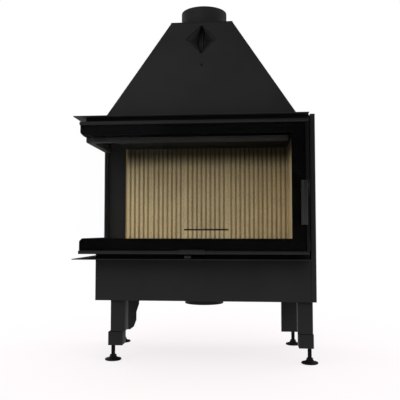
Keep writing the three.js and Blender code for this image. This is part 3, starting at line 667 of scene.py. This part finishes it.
def prism(bm, outline, low, high, axis):
    """Adds a closed prism. The outline's points are in the two other axes, in order."""
    order = {"x": (2, 0, 1), "y": (0, 2, 1), "z": (0, 1, 2)}[axis]

    def ring(level):
        return [bm.verts.new([(*point, level)[i] for i in order]) for point in outline]

    first, last = ring(low), ring(high)
    bm.faces.new(first)
    bm.faces.new(last[::-1])
    for i in range(len(outline)):
        j = (i + 1) % len(outline)
        bm.faces.new((first[i], last[i], last[j], first[j]))


def turned(bm, profile, centre, sides, turn=0.0):
    """Adds a closed turned shape around an upright axis. The profile is radius and height."""
    rings = []
    for radius, height in profile:
        if radius == 0:
            rings.append([bm.verts.new(centre + Vector((0, 0, height)))] * sides)
            continue
        ring = arc(radius, sides, turn)[:-1]
        rings.append([bm.verts.new(centre + Vector((x, y, height))) for x, y in ring])
    for below, above in zip(rings, rings[1:]):
        for i in range(sides):
            j = (i + 1) % sides
            corners = list(dict.fromkeys((below[i], below[j], above[j], above[i])))
            if len(corners) > 2:
                bm.faces.new(corners)


# Pieces ------------------------------------------------------------------------------------------

CASING_NODES = (
    "casing_front casing_left casing_right casing_back casing_bottom bottom_flange top_flange "
    "hood_front hood_right hood_back hood_left hood_top flue_collar flue_pipe "
    "leg_front_left leg_front_right leg_rear_left leg_rear_right "
    "sleeve_front_left sleeve_front_right"
).split()
FIREBOX_NODES = (
    "rear_column plinth_wall frame_bottom frame_top frame_right "
    "firebox_floor firebox_shell firebox_top air_wash_duct baffle ash_pan "
    "latch_keeper hinge_bracket_lower hinge_bracket_upper latch_cam"
).split()
# Firebox steel that lies in shade, under the roof and by the door; it gets a darker copy of the
# firebox paint as painted shade.
SHADED_NODES = "baffle firebox_top firebox_shell frame_top frame_right plinth_wall".split()
BOARD_NODES = (
    "lining_outer_left lining_inner_left lining_centre_lower lining_centre_upper "
    "lining_inner_right lining_outer_right lining_right"
).split()
RAIL_NODES = "door_bottom_rail door_top_rail".split()
DOOR_NODES = "door_right_stile door_hinge_stile handle_boss air_lever door_pull".split()
FEET = "foot_front_left foot_front_right foot_rear_left foot_rear_right".split()


class FIREPLACE_OT_casing(Operator):
    """Makes the casing, the flanges, the hood and the legs with rounded sheet edges"""

    bl_idname = "fireplace.casing"
    bl_label = "Casing, hood and legs"

    def execute(self, context):
        for node in CASING_NODES:
            softened(node, settings().edges.sheet, "casing_paint")
        softened("air_spigot", settings().edges.sheet, "black_steel")
        return {"FINISHED"}


class FIREPLACE_OT_firebox(Operator):
    """Makes the firebox's steel, its lining boards and the grate"""

    bl_idname = "fireplace.firebox"
    bl_label = "Firebox and lining"

    def execute(self, context):
        edges = settings().edges
        for node in FIREBOX_NODES:
            # Steel in shade gets the darker copy of the paint: painted shade.
            look = "sooted_steel" if node in SHADED_NODES else "firebox_steel"
            softened(node, edges.sheet, "firebox_steel", look)
        for node in BOARD_NODES:
            softened(node, edges.board, "fireboard")
        softened("grate", edges.casting, "cast_iron")
        return {"FINISHED"}


class FIREPLACE_OT_hearth(Operator):
    """Lays the hearth's bricks round the grate"""

    bl_idname = "fireplace.hearth"
    bl_label = "Hearth bricks"

    def execute(self, context):
        low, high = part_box("hearth_bricks")
        hole_low, hole_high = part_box("grate")
        joint = 0.6 * MM
        clear = 1.0 * MM
        brick_edge = settings().edges.board * 1.6
        left, right = hole_low.x - clear, hole_high.x + clear
        front, back = hole_low.y - clear, hole_high.y + clear
        spans = []
        for x0, x1, count in ((low.x, left, 2), (left, right, 1), (right, high.x, 2)):
            for i in range(count):
                spans.append((x0 + (x1 - x0) * i / count, x0 + (x1 - x0) * (i + 1) / count))
        rows = [(low.y, front), (front, back), (back, high.y)]
        bm = bmesh.new()
        for x0, x1 in spans:
            for y0, y1 in rows:
                if (y0, x0) == (front, left):
                    continue
                x = (x0 + joint, x1 - joint)
                y = (y0 + joint, y1 - joint)
                outline = [(x[0], y[0]), (x[1], y[0]), (x[1], y[1]), (x[0], y[1])]
                prism(bm, outline, low.z, high.z, "z")
        bmesh.ops.recalc_face_normals(bm, faces=bm.faces)
        round_edges(bm, brick_edge)
        mesh = closed(bm, "hearth_bricks_laid", False)
        piece("hearth_bricks_laid", mesh, "casing", "hearth_brick", None, ["hearth_bricks"])
        return {"FINISHED"}


class FIREPLACE_OT_door(Operator):
    """Makes the door's rails, stiles, pull and panes and the air lever"""

    bl_idname = "fireplace.door"
    bl_label = "Door"

    def execute(self, context):
        edges = settings().edges
        for node in RAIL_NODES:
            softened(node, edges.rail, "door_paint")
        for node in DOOR_NODES:
            look = "stile_black" if node == "door_right_stile" else "door_paint"
            softened(node, edges.sheet, "door_paint", look)
        for node in ("glass_front", "glass_side"):
            softened(node, edges.glass, "glass")
        return {"FINISHED"}


def rounding(edge, level, width, height):
    """Points round a border's corner, from the pane's edge to the border's straight side."""
    return [
        (edge + width * (1 - across), level + height * (1 - up))
        for across, up in arc(1.0, 8, 0.0, math.pi / 2)
    ]


class FIREPLACE_OT_border(Operator):
    """Makes the black borders fired onto the back of the panes"""

    bl_idname = "fireplace.border"
    bl_label = "Printed borders"

    def execute(self, context):
        s = settings().border
        front_low, front_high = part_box("glass_front")
        side_low, side_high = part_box("glass_side")
        pivot = middle("handle_boss")
        inner = front_high.x - s.right
        right = front_high.x
        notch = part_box("handle_boss")[1].x - pivot.x + 1.0 * MM
        reach = math.acos((right - pivot.x) / notch)
        round_boss = arc(notch, 16, reach, ROUND - 2 * reach)
        narrow = 0.4 * s.round_width
        outline = [
            (front_low.x, front_low.z),
            (right, front_low.z),
            *((pivot.x + x, pivot.z - z) for x, z in round_boss),
            (right, front_high.z),
            (front_low.x, front_high.z),
            *rounding(front_low.x, s.top, narrow, s.round_height),
            (inner, s.top),
            (inner, s.bottom),
            *rounding(front_low.x, s.bottom, s.round_width, -s.round_height)[::-1],
        ]
        near = front_high.y + s.gap
        bm = bmesh.new()
        prism(bm, outline, near, near + s.thickness, "y")
        piece("border_front", closed(bm, "border_front", False), "door", "glass", "print_black")
        near = side_high.x + s.gap
        bm = bmesh.new()
        front = side_low.y
        lower = [(front, side_low.z), (side_high.y, side_low.z), (side_high.y, s.bottom)]
        lower += rounding(front, s.bottom, s.round_width, -s.round_height)[::-1]
        upper = [(side_high.y, s.top), (side_high.y, side_high.z), (front, side_high.z)]
        upper += rounding(front, s.top, s.round_width, s.round_height)
        for outline in (lower, upper):
            prism(bm, outline, near, near + s.thickness, "x")
        piece("border_side", closed(bm, "border_side", False), "door", "glass", "print_black")
        return {"FINISHED"}


def rounded_path(points, radius, steps=6):
    """A closed path through points, with each corner rounded."""
    path = []
    count = len(points)
    for i, corner in enumerate(points):
        before = (points[i - 1] - corner).normalized()
        after = (points[(i + 1) % count] - corner).normalized()
        start, end = corner + before * radius, corner + after * radius
        for k in range(steps + 1):
            t = k / steps
            path.append(start.lerp(corner, t).lerp(corner.lerp(end, t), t))
    return path


def wire_mesh(name, paths, ring=True):
    """A mesh of edges along each path."""
    mesh = bpy.data.meshes.new(name)
    points, edges = [], []
    for path in paths:
        first = len(points)
        points += path
        edges += [(first + i, first + i + 1) for i in range(len(path) - 1)]
        if ring:
            edges.append((len(points) - 1, first))
    mesh.from_pydata(points, edges, [])
    return mesh


class FIREPLACE_OT_seal(Operator):
    """Lays the twisted rope seal round the back of the door"""

    bl_idname = "fireplace.seal"
    bl_label = "Rope seal"

    def execute(self, context):
        s = settings().seal
        low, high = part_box("door_seal")
        r = s.radius + 0.2 * MM
        behind_print = 0.4 * MM
        side_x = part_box("glass_side")[1].x + behind_print + r + 0.3 * MM
        front_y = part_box("glass_front")[1].y + behind_print + r + 0.4 * MM
        x1, y1, z0, z1 = high.x - r, high.y - r, low.z + r, high.z - r
        corners = [(side_x, y1), (side_x, front_y), (x1, front_y)]
        points = [Vector((x, y, z0)) for x, y in corners]
        points += [Vector((x, y, z1)) for x, y in corners[::-1]]
        path = wire_mesh("seal_path", [rounded_path(points, s.corner)])
        rope = Pattern("seal_rope", finish("rope_seal"), radius=s.radius, pitch=s.pitch, lobes=3.0)
        line = rope.line(3.0 * MM)
        total = rope.node("GeometryNodeCurveLength", None, {"Curve": line})
        turns = (total / rope.size("pitch")).math("ROUND")
        tilt = rope.node("GeometryNodeSplineParameter") * turns * ROUND
        line = rope.node("GeometryNodeSetCurveTilt", None, {"Curve": line, "Tilt": tilt})
        round_rope = {"Resolution": 18, "Radius": rope.size("radius")}
        ring = rope.node("GeometryNodeCurvePrimitiveCircle", {"mode": "RADIUS"}, round_rope)
        angle = rope.node("GeometryNodeSplineParameter") * ROUND
        lobe = (angle * rope.size("lobes")).math("COSINE")
        swell = {0: rope.node("GeometryNodeInputPosition"), "Scale": 0.86 + 0.14 * lobe}
        moved = rope.node("ShaderNodeVectorMath", {"operation": "SCALE"}, swell)
        ring = rope.node("GeometryNodeSetPosition", None, {"Geometry": ring, "Position": moved})
        tube = {"Curve": line, "Profile Curve": ring}
        made = rope.node("GeometryNodeCurveToMesh", None, tube)
        rope.ends_with(rope.node("GeometryNodeSetShadeSmooth", None, {"Geometry": made}))
        piece("seal_rope", rope.run("seal_rope", path), "door", "rope_seal", None, ["door_seal"])
        return {"FINISHED"}


class FIREPLACE_OT_handle(Operator):
    """Makes the handle: a bar with a ridge down its front, its hub and its spindle"""

    bl_idname = "fireplace.handle"
    bl_label = "Handle"

    def execute(self, context):
        low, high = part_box("handle_lever")
        boss_low, boss_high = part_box("handle_boss")
        pivot = middle("handle_boss")
        bar_width, bar_depth = 21.5 * MM, 20 * MM
        left_slope, right_slope = 3.6 * MM, 4.6 * MM
        ridge_share = 0.46
        hub, hub_depth = (boss_high.x - boss_low.x) / 2, 10 * MM
        spindle, lap = 5 * MM, 2 * MM
        bar_right = low.x + bar_width
        back = low.y + bar_depth
        outline = [
            (low.x, back),
            (low.x, low.y + left_slope),
            (low.x + ridge_share * (bar_right - low.x), low.y),
            (bar_right, low.y + right_slope),
            (bar_right, back),
        ]
        bm = bmesh.new()
        prism(bm, outline, low.z, high.z, "z")
        bmesh.ops.recalc_face_normals(bm, faces=bm.faces)
        round_edges(bm, 1.6 * MM, 3)
        for radius, y0, y1 in ((hub, back - hub_depth, back), (spindle, back - lap, high.y)):
            ring = [(pivot.x + x, pivot.z + z) for x, z in arc(radius, 28)[:-1]]
            prism(bm, ring, y0, y1, "y")
        mesh = closed(bm, "handle_bar", False)
        piece("handle_bar", mesh, "handle", "door_paint", "handle_paint", ["handle_lever"])
        return {"FINISHED"}


class FIREPLACE_OT_vent(Operator):
    """Makes the two dished leaves in the hood's diamond vent and the stay behind them"""

    bl_idname = "fireplace.vent"
    bl_label = "Hood vent"

    def execute(self, context):
        s = settings().vent
        axis = middle("flue_collar")
        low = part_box("hood_front")[0]
        lean = HOOD_LEAN / HOOD_RISE
        half = 60.0 * MM
        centre_z = low.z + 312.1 * MM
        top = 0.955  # the leaves end this far up the diamond, as a share of its half height
        edge_gap, least_width = 0.3 * MM, 0.2 * MM
        thickness = 1.0 * MM
        slot_taper, dish = 1.7, 1.5
        rows, columns = 28, 12

        def sheet_y(z):
            return low.y + lean * (z - low.z)

        for side, name in ((-1, "vent_leaf_left"), (1, "vent_leaf_right")):
            bm = bmesh.new()
            grid = []
            for i in range(rows + 1):
                v = -top + 2 * top * i / rows
                z = centre_z + half * v
                outer = half * (1 - abs(v)) - edge_gap
                inner = min(outer - least_width, s.slot / 2 * (1 - abs(v) ** slot_taper))
                reach = (outer - inner) / (half - s.slot / 2)
                line = []
                for k in range(columns + 1):
                    u = k / columns
                    x = axis.x + side * (outer + (inner - outer) * u)
                    y = sheet_y(z) + s.rim + s.depth * reach * u**dish
                    line.append(bm.verts.new((x, y, z)))
                grid.append(line)
            for row, above in zip(grid, grid[1:]):
                for k in range(columns):
                    bm.faces.new((row[k], row[k + 1], above[k + 1], above[k]))
            back = bmesh.ops.duplicate(bm, geom=bm.verts[:] + bm.edges[:] + bm.faces[:])
            shifted = [e for e in back["geom"] if isinstance(e, bmesh.types.BMVert)]
            bmesh.ops.translate(bm, verts=shifted, vec=(0, thickness, 0))
            bmesh.ops.bridge_loops(bm, edges=[e for e in bm.edges if e.is_boundary])
            piece(name, closed(bm, name), "casing", "casing_paint")
        bm = bmesh.new()
        reach = 0.66 * half
        profile = [(0, -reach), (s.rod, -reach), (s.rod, reach), (0, reach)]
        behind = s.rim + s.depth + 4.0 * MM
        stay = Vector((axis.x + 2.0 * MM, sheet_y(centre_z) + behind, centre_z))
        turned(bm, profile, stay, 16)
        piece("vent_stay", closed(bm, "vent_stay"), "casing", "casing_paint", "handle_paint")
        return {"FINISHED"}


def screw_places():
    """Where the casing's screws sit and which way each one faces, in millimetres."""
    back, right, left, off_hood = (0, 1, 0), (1, 0, 0), (-1, 0, 0), (0, -1, 0.202)
    hood_screw = 1094
    places = []
    for x in range(20, 781, 108):
        places += [((x, CASING_DEPTH, z), back) for z in (232, 360, 868)]
    for z in (450, 540, 630, 720, 800):
        places += [((x, CASING_DEPTH, z), back) for x in (-30, 780)]
    places.append(((-30, CASING_DEPTH, 868), back))
    for y in (22, 114, 206, 298, 390):
        places += [((CASING_WIDTH, y, z), right) for z in (232, 358, 872)]
        places += [((0, y, z), left) for z in (232, 357)]
    places += [((-45, 392, z), left) for z in (400, 515, 630, 745, 860)]
    hood_y = HOOD_FRONT + HOOD_LEAN * (hood_screw - HOOD_FOOT) / HOOD_RISE
    places.append(((383, hood_y, hood_screw), off_hood))
    return places


class FIREPLACE_OT_fasteners(Operator):
    """Puts the flanged hexagon screws into the casing's sheets"""

    bl_idname = "fireplace.fasteners"
    bl_label = "Screws"

    def execute(self, context):
        s = settings().fasteners
        places = screw_places()
        source = bpy.data.meshes.new("screw_places")
        source.from_pydata([at(*place) for place, _ in places], [], [])
        facing = source.attributes.new("facing", "FLOAT_VECTOR", "POINT")
        ways = [c for _, way in places for c in Vector(way).normalized()]
        facing.data.foreach_set("vector", ways)
        screw = Pattern(
            "casing_screws", finish("black_steel"),
            flange_radius=s.radius, height=s.height, hexagon_radius=s.hex_radius, seed=7,
        )
        third = screw.size("height") / 3.0
        head = screw.node("GeometryNodeJoinGeometry")
        # The flange is the lower third of the head, and the hexagon the rest.
        parts = (
            (20, "flange_radius", third, third * 0.5),
            (6, "hexagon_radius", third * 2.0, third * 2.0),
        )
        for corners, radius, depth, middle_height in parts:
            shape = {"Vertices": corners, "Radius": screw.size(radius), "Depth": depth}
            part = screw.node("GeometryNodeMeshCylinder", None, shape)
            lift = screw.node("ShaderNodeCombineXYZ", None, {"Z": middle_height})
            lifted = {"Geometry": part, "Translation": lift}
            part = screw.node("GeometryNodeTransform", None, lifted)
            screw.nodes.links.new(part.socket, head.socket.node.inputs[0])
        vector = {"data_type": "FLOAT_VECTOR"}
        way = screw.node("GeometryNodeInputNamedAttribute", vector, {"Name": "facing"})
        turn = screw.node("FunctionNodeAlignRotationToVector", {"axis": "Z"}, {"Vector": way})
        own_axis = {"Axis": (0.0, 0.0, 1.0), "Angle": screw.random(0.0, math.pi / 3)}
        spin = screw.node("FunctionNodeAxisAngleToRotation", None, own_axis)
        local = {"rotation_space": "LOCAL"}
        turn = screw.node("FunctionNodeRotateRotation", local, {0: turn, 1: spin})
        points = screw.node("GeometryNodeMeshToPoints", None, {"Mesh": screw.size("Geometry")})
        copies = {"Points": points, "Instance": head, "Rotation": turn}
        screw.ends_with(screw.node("GeometryNodeInstanceOnPoints", None, copies))
        piece("casing_screws", screw.run("casing_screws", source), "casing", "black_steel")
        return {"FINISHED"}


class FIREPLACE_OT_seams(Operator):
    """Runs the weld beads along the hood's corners and round the collar's foot"""

    bl_idname = "fireplace.seams"
    bl_label = "Weld seams"

    def execute(self, context):
        s = settings().seams
        inset = s.inset / MM
        foot_height, top_height = 887.5, 1266.0
        lines = []
        # Each corner's way inwards, its foot and its top, first across and then front to back.
        for sx, x_foot, x_top in ((1, 25.5, 263.0), (-1, 736.5, 499.0)):
            for sy, y_foot, y_top in ((1, 10.0, 87.0), (-1, 400.0, 323.0)):
                foot = at(x_foot + sx * inset, y_foot + sy * inset, foot_height)
                lines.append([foot, at(x_top + sx * inset, y_top + sy * inset, top_height)])
        axis = middle("flue_collar")
        collar_low, collar_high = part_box("flue_collar")
        radius = (collar_high.x - collar_low.x) / 2 + 0.4 * MM
        ring = arc(radius, 96)
        lines.append([Vector((axis.x + x, axis.y + y, collar_low.z)) for x, y in ring])
        source = wire_mesh("seam_lines", lines, ring=False)
        weld = Pattern("hood_welds", finish("casing_paint"), bead=s.bead, pitch=s.pitch, seed=3)
        ball = {"Segments": 8, "Rings": 5, "Radius": weld.size("bead")}
        bead = weld.node("GeometryNodeMeshUVSphere", None, ball)
        line, uneven = weld.line(weld.size("pitch")), weld.random(0.82, 1.12)
        copies = {"Points": line, "Instance": bead, "Scale": uneven}
        made = weld.node("GeometryNodeInstanceOnPoints", None, copies)
        made = weld.node("GeometryNodeRealizeInstances", None, {0: made})
        weld.ends_with(weld.node("GeometryNodeSetShadeSmooth", None, {"Geometry": made}))
        piece("hood_welds", weld.run("hood_welds", source), "casing", "casing_paint")
        return {"FINISHED"}


class FIREPLACE_OT_feet(Operator):
    """Makes the four levelling feet, each with its pad, hexagon and threaded rod"""

    bl_idname = "fireplace.feet"
    bl_label = "Levelling feet"

    def execute(self, context):
        s = settings().feet
        thread = Pattern(
            "foot_thread", finish("black_steel"), core=s.core, crest=7.5 * MM,
            pitch=s.thread_pitch, rise=61.0 * MM, start=Vector((0, 0, 0)),
        )
        helix = {
            "Resolution": 20,
            "Rotations": thread.size("rise") / thread.size("pitch"),
            "Start Radius": thread.size("core"),
            "End Radius": thread.size("core"),
            "Height": thread.size("rise"),
        }
        spiral = thread.node("GeometryNodeCurveSpiral", None, helix)
        depth = thread.size("crest") - thread.size("core")
        square = {"Resolution": 4, "Radius": depth}
        ridge = thread.node("GeometryNodeCurvePrimitiveCircle", {"mode": "RADIUS"}, square)
        swept = {"Curve": spiral, "Profile Curve": ridge, "Fill Caps": True}
        made = thread.node("GeometryNodeCurveToMesh", None, swept)
        lifted = {"Geometry": made, "Translation": thread.size("start")}
        thread.ends_with(thread.node("GeometryNodeTransform", None, lifted))
        empty = bpy.data.meshes.new("no_points")
        core = s.core / MM
        pad = [
            (0, 0), (28.5, 0), (30, 1.2), (30, 4.2), (29, 5.4), (16, 8.0), (14.5, 9.2),
            (14.5, 12.0), (13.6, 12.8), (0, 12.8),
        ]
        hexagon = [(0, 12.5), (11.2, 12.5), (12.4, 13.1), (12.4, 19.4), (11.2, 20.0), (0, 20.0)]
        rod = [(0, 19), (core, 19), (core, 82.5), (core - 1.2, 84), (0, 84)]
        thread_foot = Vector((0, 0, 21.0 * MM))
        shapes = ((pad, 40, 0.0), (hexagon, 6, math.radians(12)), (rod, 28, 0.0))
        for node in FEET:
            centre = middle(node)
            centre.z = 0.0
            bm = bmesh.new()
            for profile, sides, turn in shapes:
                turned(bm, [(r * MM, z * MM) for r, z in profile], centre, sides, turn)
            mesh = closed(bm, f"{node}_turned")
            piece(f"{node}_turned", mesh, node, "black_steel", None, [node])
            mesh = thread.run(f"{node}_thread", empty, start=centre + thread_foot)
            piece(f"{node}_thread", mesh, node, "black_steel")
        return {"FINISHED"}


def softbox(name, place, target, size, power):
    """A large area light that the camera doesn't see."""
    lamp = bpy.data.lights.new(name, "AREA")
    lamp.shape = "RECTANGLE"
    lamp.size, lamp.size_y = size
    lamp.energy = power
    made = bpy.data.objects.new(name, lamp)
    bpy.context.scene.collection.objects.link(made)
    made.location = place
    made.rotation_euler = (Vector(target) - Vector(place)).to_track_quat("-Z", "Y").to_euler()
    made.visible_camera = False


class FIREPLACE_OT_stage(Operator):
    """Sets up the pale floor, the soft lights and the camera"""

    bl_idname = "fireplace.stage"
    bl_label = "Floor, lights and camera"

    def execute(self, context):
        scene = context.scene
        stage, view = settings().stage, settings().camera
        bm = bmesh.new()
        bmesh.ops.create_circle(bm, cap_ends=True, radius=FLOOR_RADIUS, segments=96)
        mesh = bpy.data.meshes.new("floor")
        bm.to_mesh(mesh)
        bm.free()
        mesh.materials.append(floor_finish("floor_finish", stage))
        floor = bpy.data.objects.new("floor", mesh)
        scene.collection.objects.link(floor)

        world = bpy.data.worlds.new("studio")
        world.use_nodes = True
        world.node_tree.nodes.clear()
        room = Tree(world.node_tree)
        direction = room.node("ShaderNodeTexCoord", output="Generated")
        rise = room.node("ShaderNodeSeparateXYZ", None, {0: direction}, output="Z")
        soft = stage.horizon + (stage.sky - stage.horizon) * rise.ramp(0.0, 0.9)
        light, mirrored, seen = (
            room.node("ShaderNodeBackground", None, {"Color": WHITE, "Strength": strength})
            for strength in (soft, stage.mirrored, 1.0)
        )
        shown = room.mixed(light, mirrored, room.ray("Glossy"))
        shown = room.mixed(shown, seen, room.ray("Camera"))
        room.node("ShaderNodeOutputWorld", None, {"Surface": shown})
        scene.world = world
        scene.view_settings.view_transform = "Standard"
        scene.view_settings.look = "None"

        for name, place, aim, size, power in (
            ("key_light", (-1.6, -2.6, 2.6), 0.7, (1.6, 1.6), stage.key),
            ("left_rim_light", (-2.6, 1.8, 1.6), 0.6, (1.2, 1.8), stage.rim),
            ("right_rim_light", (2.6, 1.4, 1.6), 0.6, (1.2, 1.8), stage.rim),
        ):
            softbox(name, place, (0.0, 0.0, aim), size, power)

        lens = bpy.data.cameras.new("camera")
        lens.sensor_width = view.sensor
        lens.lens = view.lens
        lens.clip_start, lens.clip_end = 0.05, 200.0
        camera = bpy.data.objects.new("camera", lens)
        scene.collection.objects.link(camera)
        camera.location = view.place
        camera.rotation_euler = (math.pi / 2 + view.pitch, 0.0, view.yaw)
        scene.camera = camera
        return {"FINISHED"}


OPERATORS = (
    FIREPLACE_OT_casing,
    FIREPLACE_OT_firebox,
    FIREPLACE_OT_hearth,
    FIREPLACE_OT_door,
    FIREPLACE_OT_border,
    FIREPLACE_OT_seal,
    FIREPLACE_OT_handle,
    FIREPLACE_OT_vent,
    FIREPLACE_OT_fasteners,
    FIREPLACE_OT_seams,
    FIREPLACE_OT_feet,
    FIREPLACE_OT_stage,
)
GROUPS = (
    FinishSettings,
    BoardShadeSettings,
    EdgeSettings,
    PrintSettings,
    FastenerSettings,
    SeamSettings,
    SealSettings,
    VentSettings,
    FootSettings,
    StageSettings,
    CameraSettings,
    FireplaceSettings,
)


class FIREPLACE_PT_panel(bpy.types.Panel):
    """Lists the settings and the steps"""

    bl_idname = "FIREPLACE_PT_panel"
    bl_label = "Corner Fireplace Insert"
    bl_space_type = "VIEW_3D"
    bl_region_type = "UI"
    bl_category = "Fireplace"

    def draw(self, context):
        for operator in OPERATORS:
            self.layout.operator(operator.bl_idname)
        for group in FireplaceSettings.__annotations__:
            box = self.layout.box()
            box.label(text=group.capitalize())
            values = getattr(context.scene.fireplace, group)
            for name in values.__annotations__:
                box.prop(values, name)


def register():
    for group in (*GROUPS, *OPERATORS, FIREPLACE_PT_panel):
        bpy.utils.register_class(group)
    bpy.types.Scene.fireplace = bpy.props.PointerProperty(type=FireplaceSettings)


def unregister():
    del bpy.types.Scene.fireplace
    for group in reversed((*GROUPS, *OPERATORS, FIREPLACE_PT_panel)):
        bpy.utils.unregister_class(group)


def main():
    register()
    bpy.ops.fireplace.stage()
    bpy.ops.fireplace.casing()
    bpy.ops.fireplace.firebox()
    bpy.ops.fireplace.hearth()
    bpy.ops.fireplace.door()
    bpy.ops.fireplace.border()
    bpy.ops.fireplace.seal()
    bpy.ops.fireplace.handle()
    bpy.ops.fireplace.vent()
    bpy.ops.fireplace.fasteners()
    bpy.ops.fireplace.seams()
    bpy.ops.fireplace.feet()


if __name__ == "__main__":
    main()
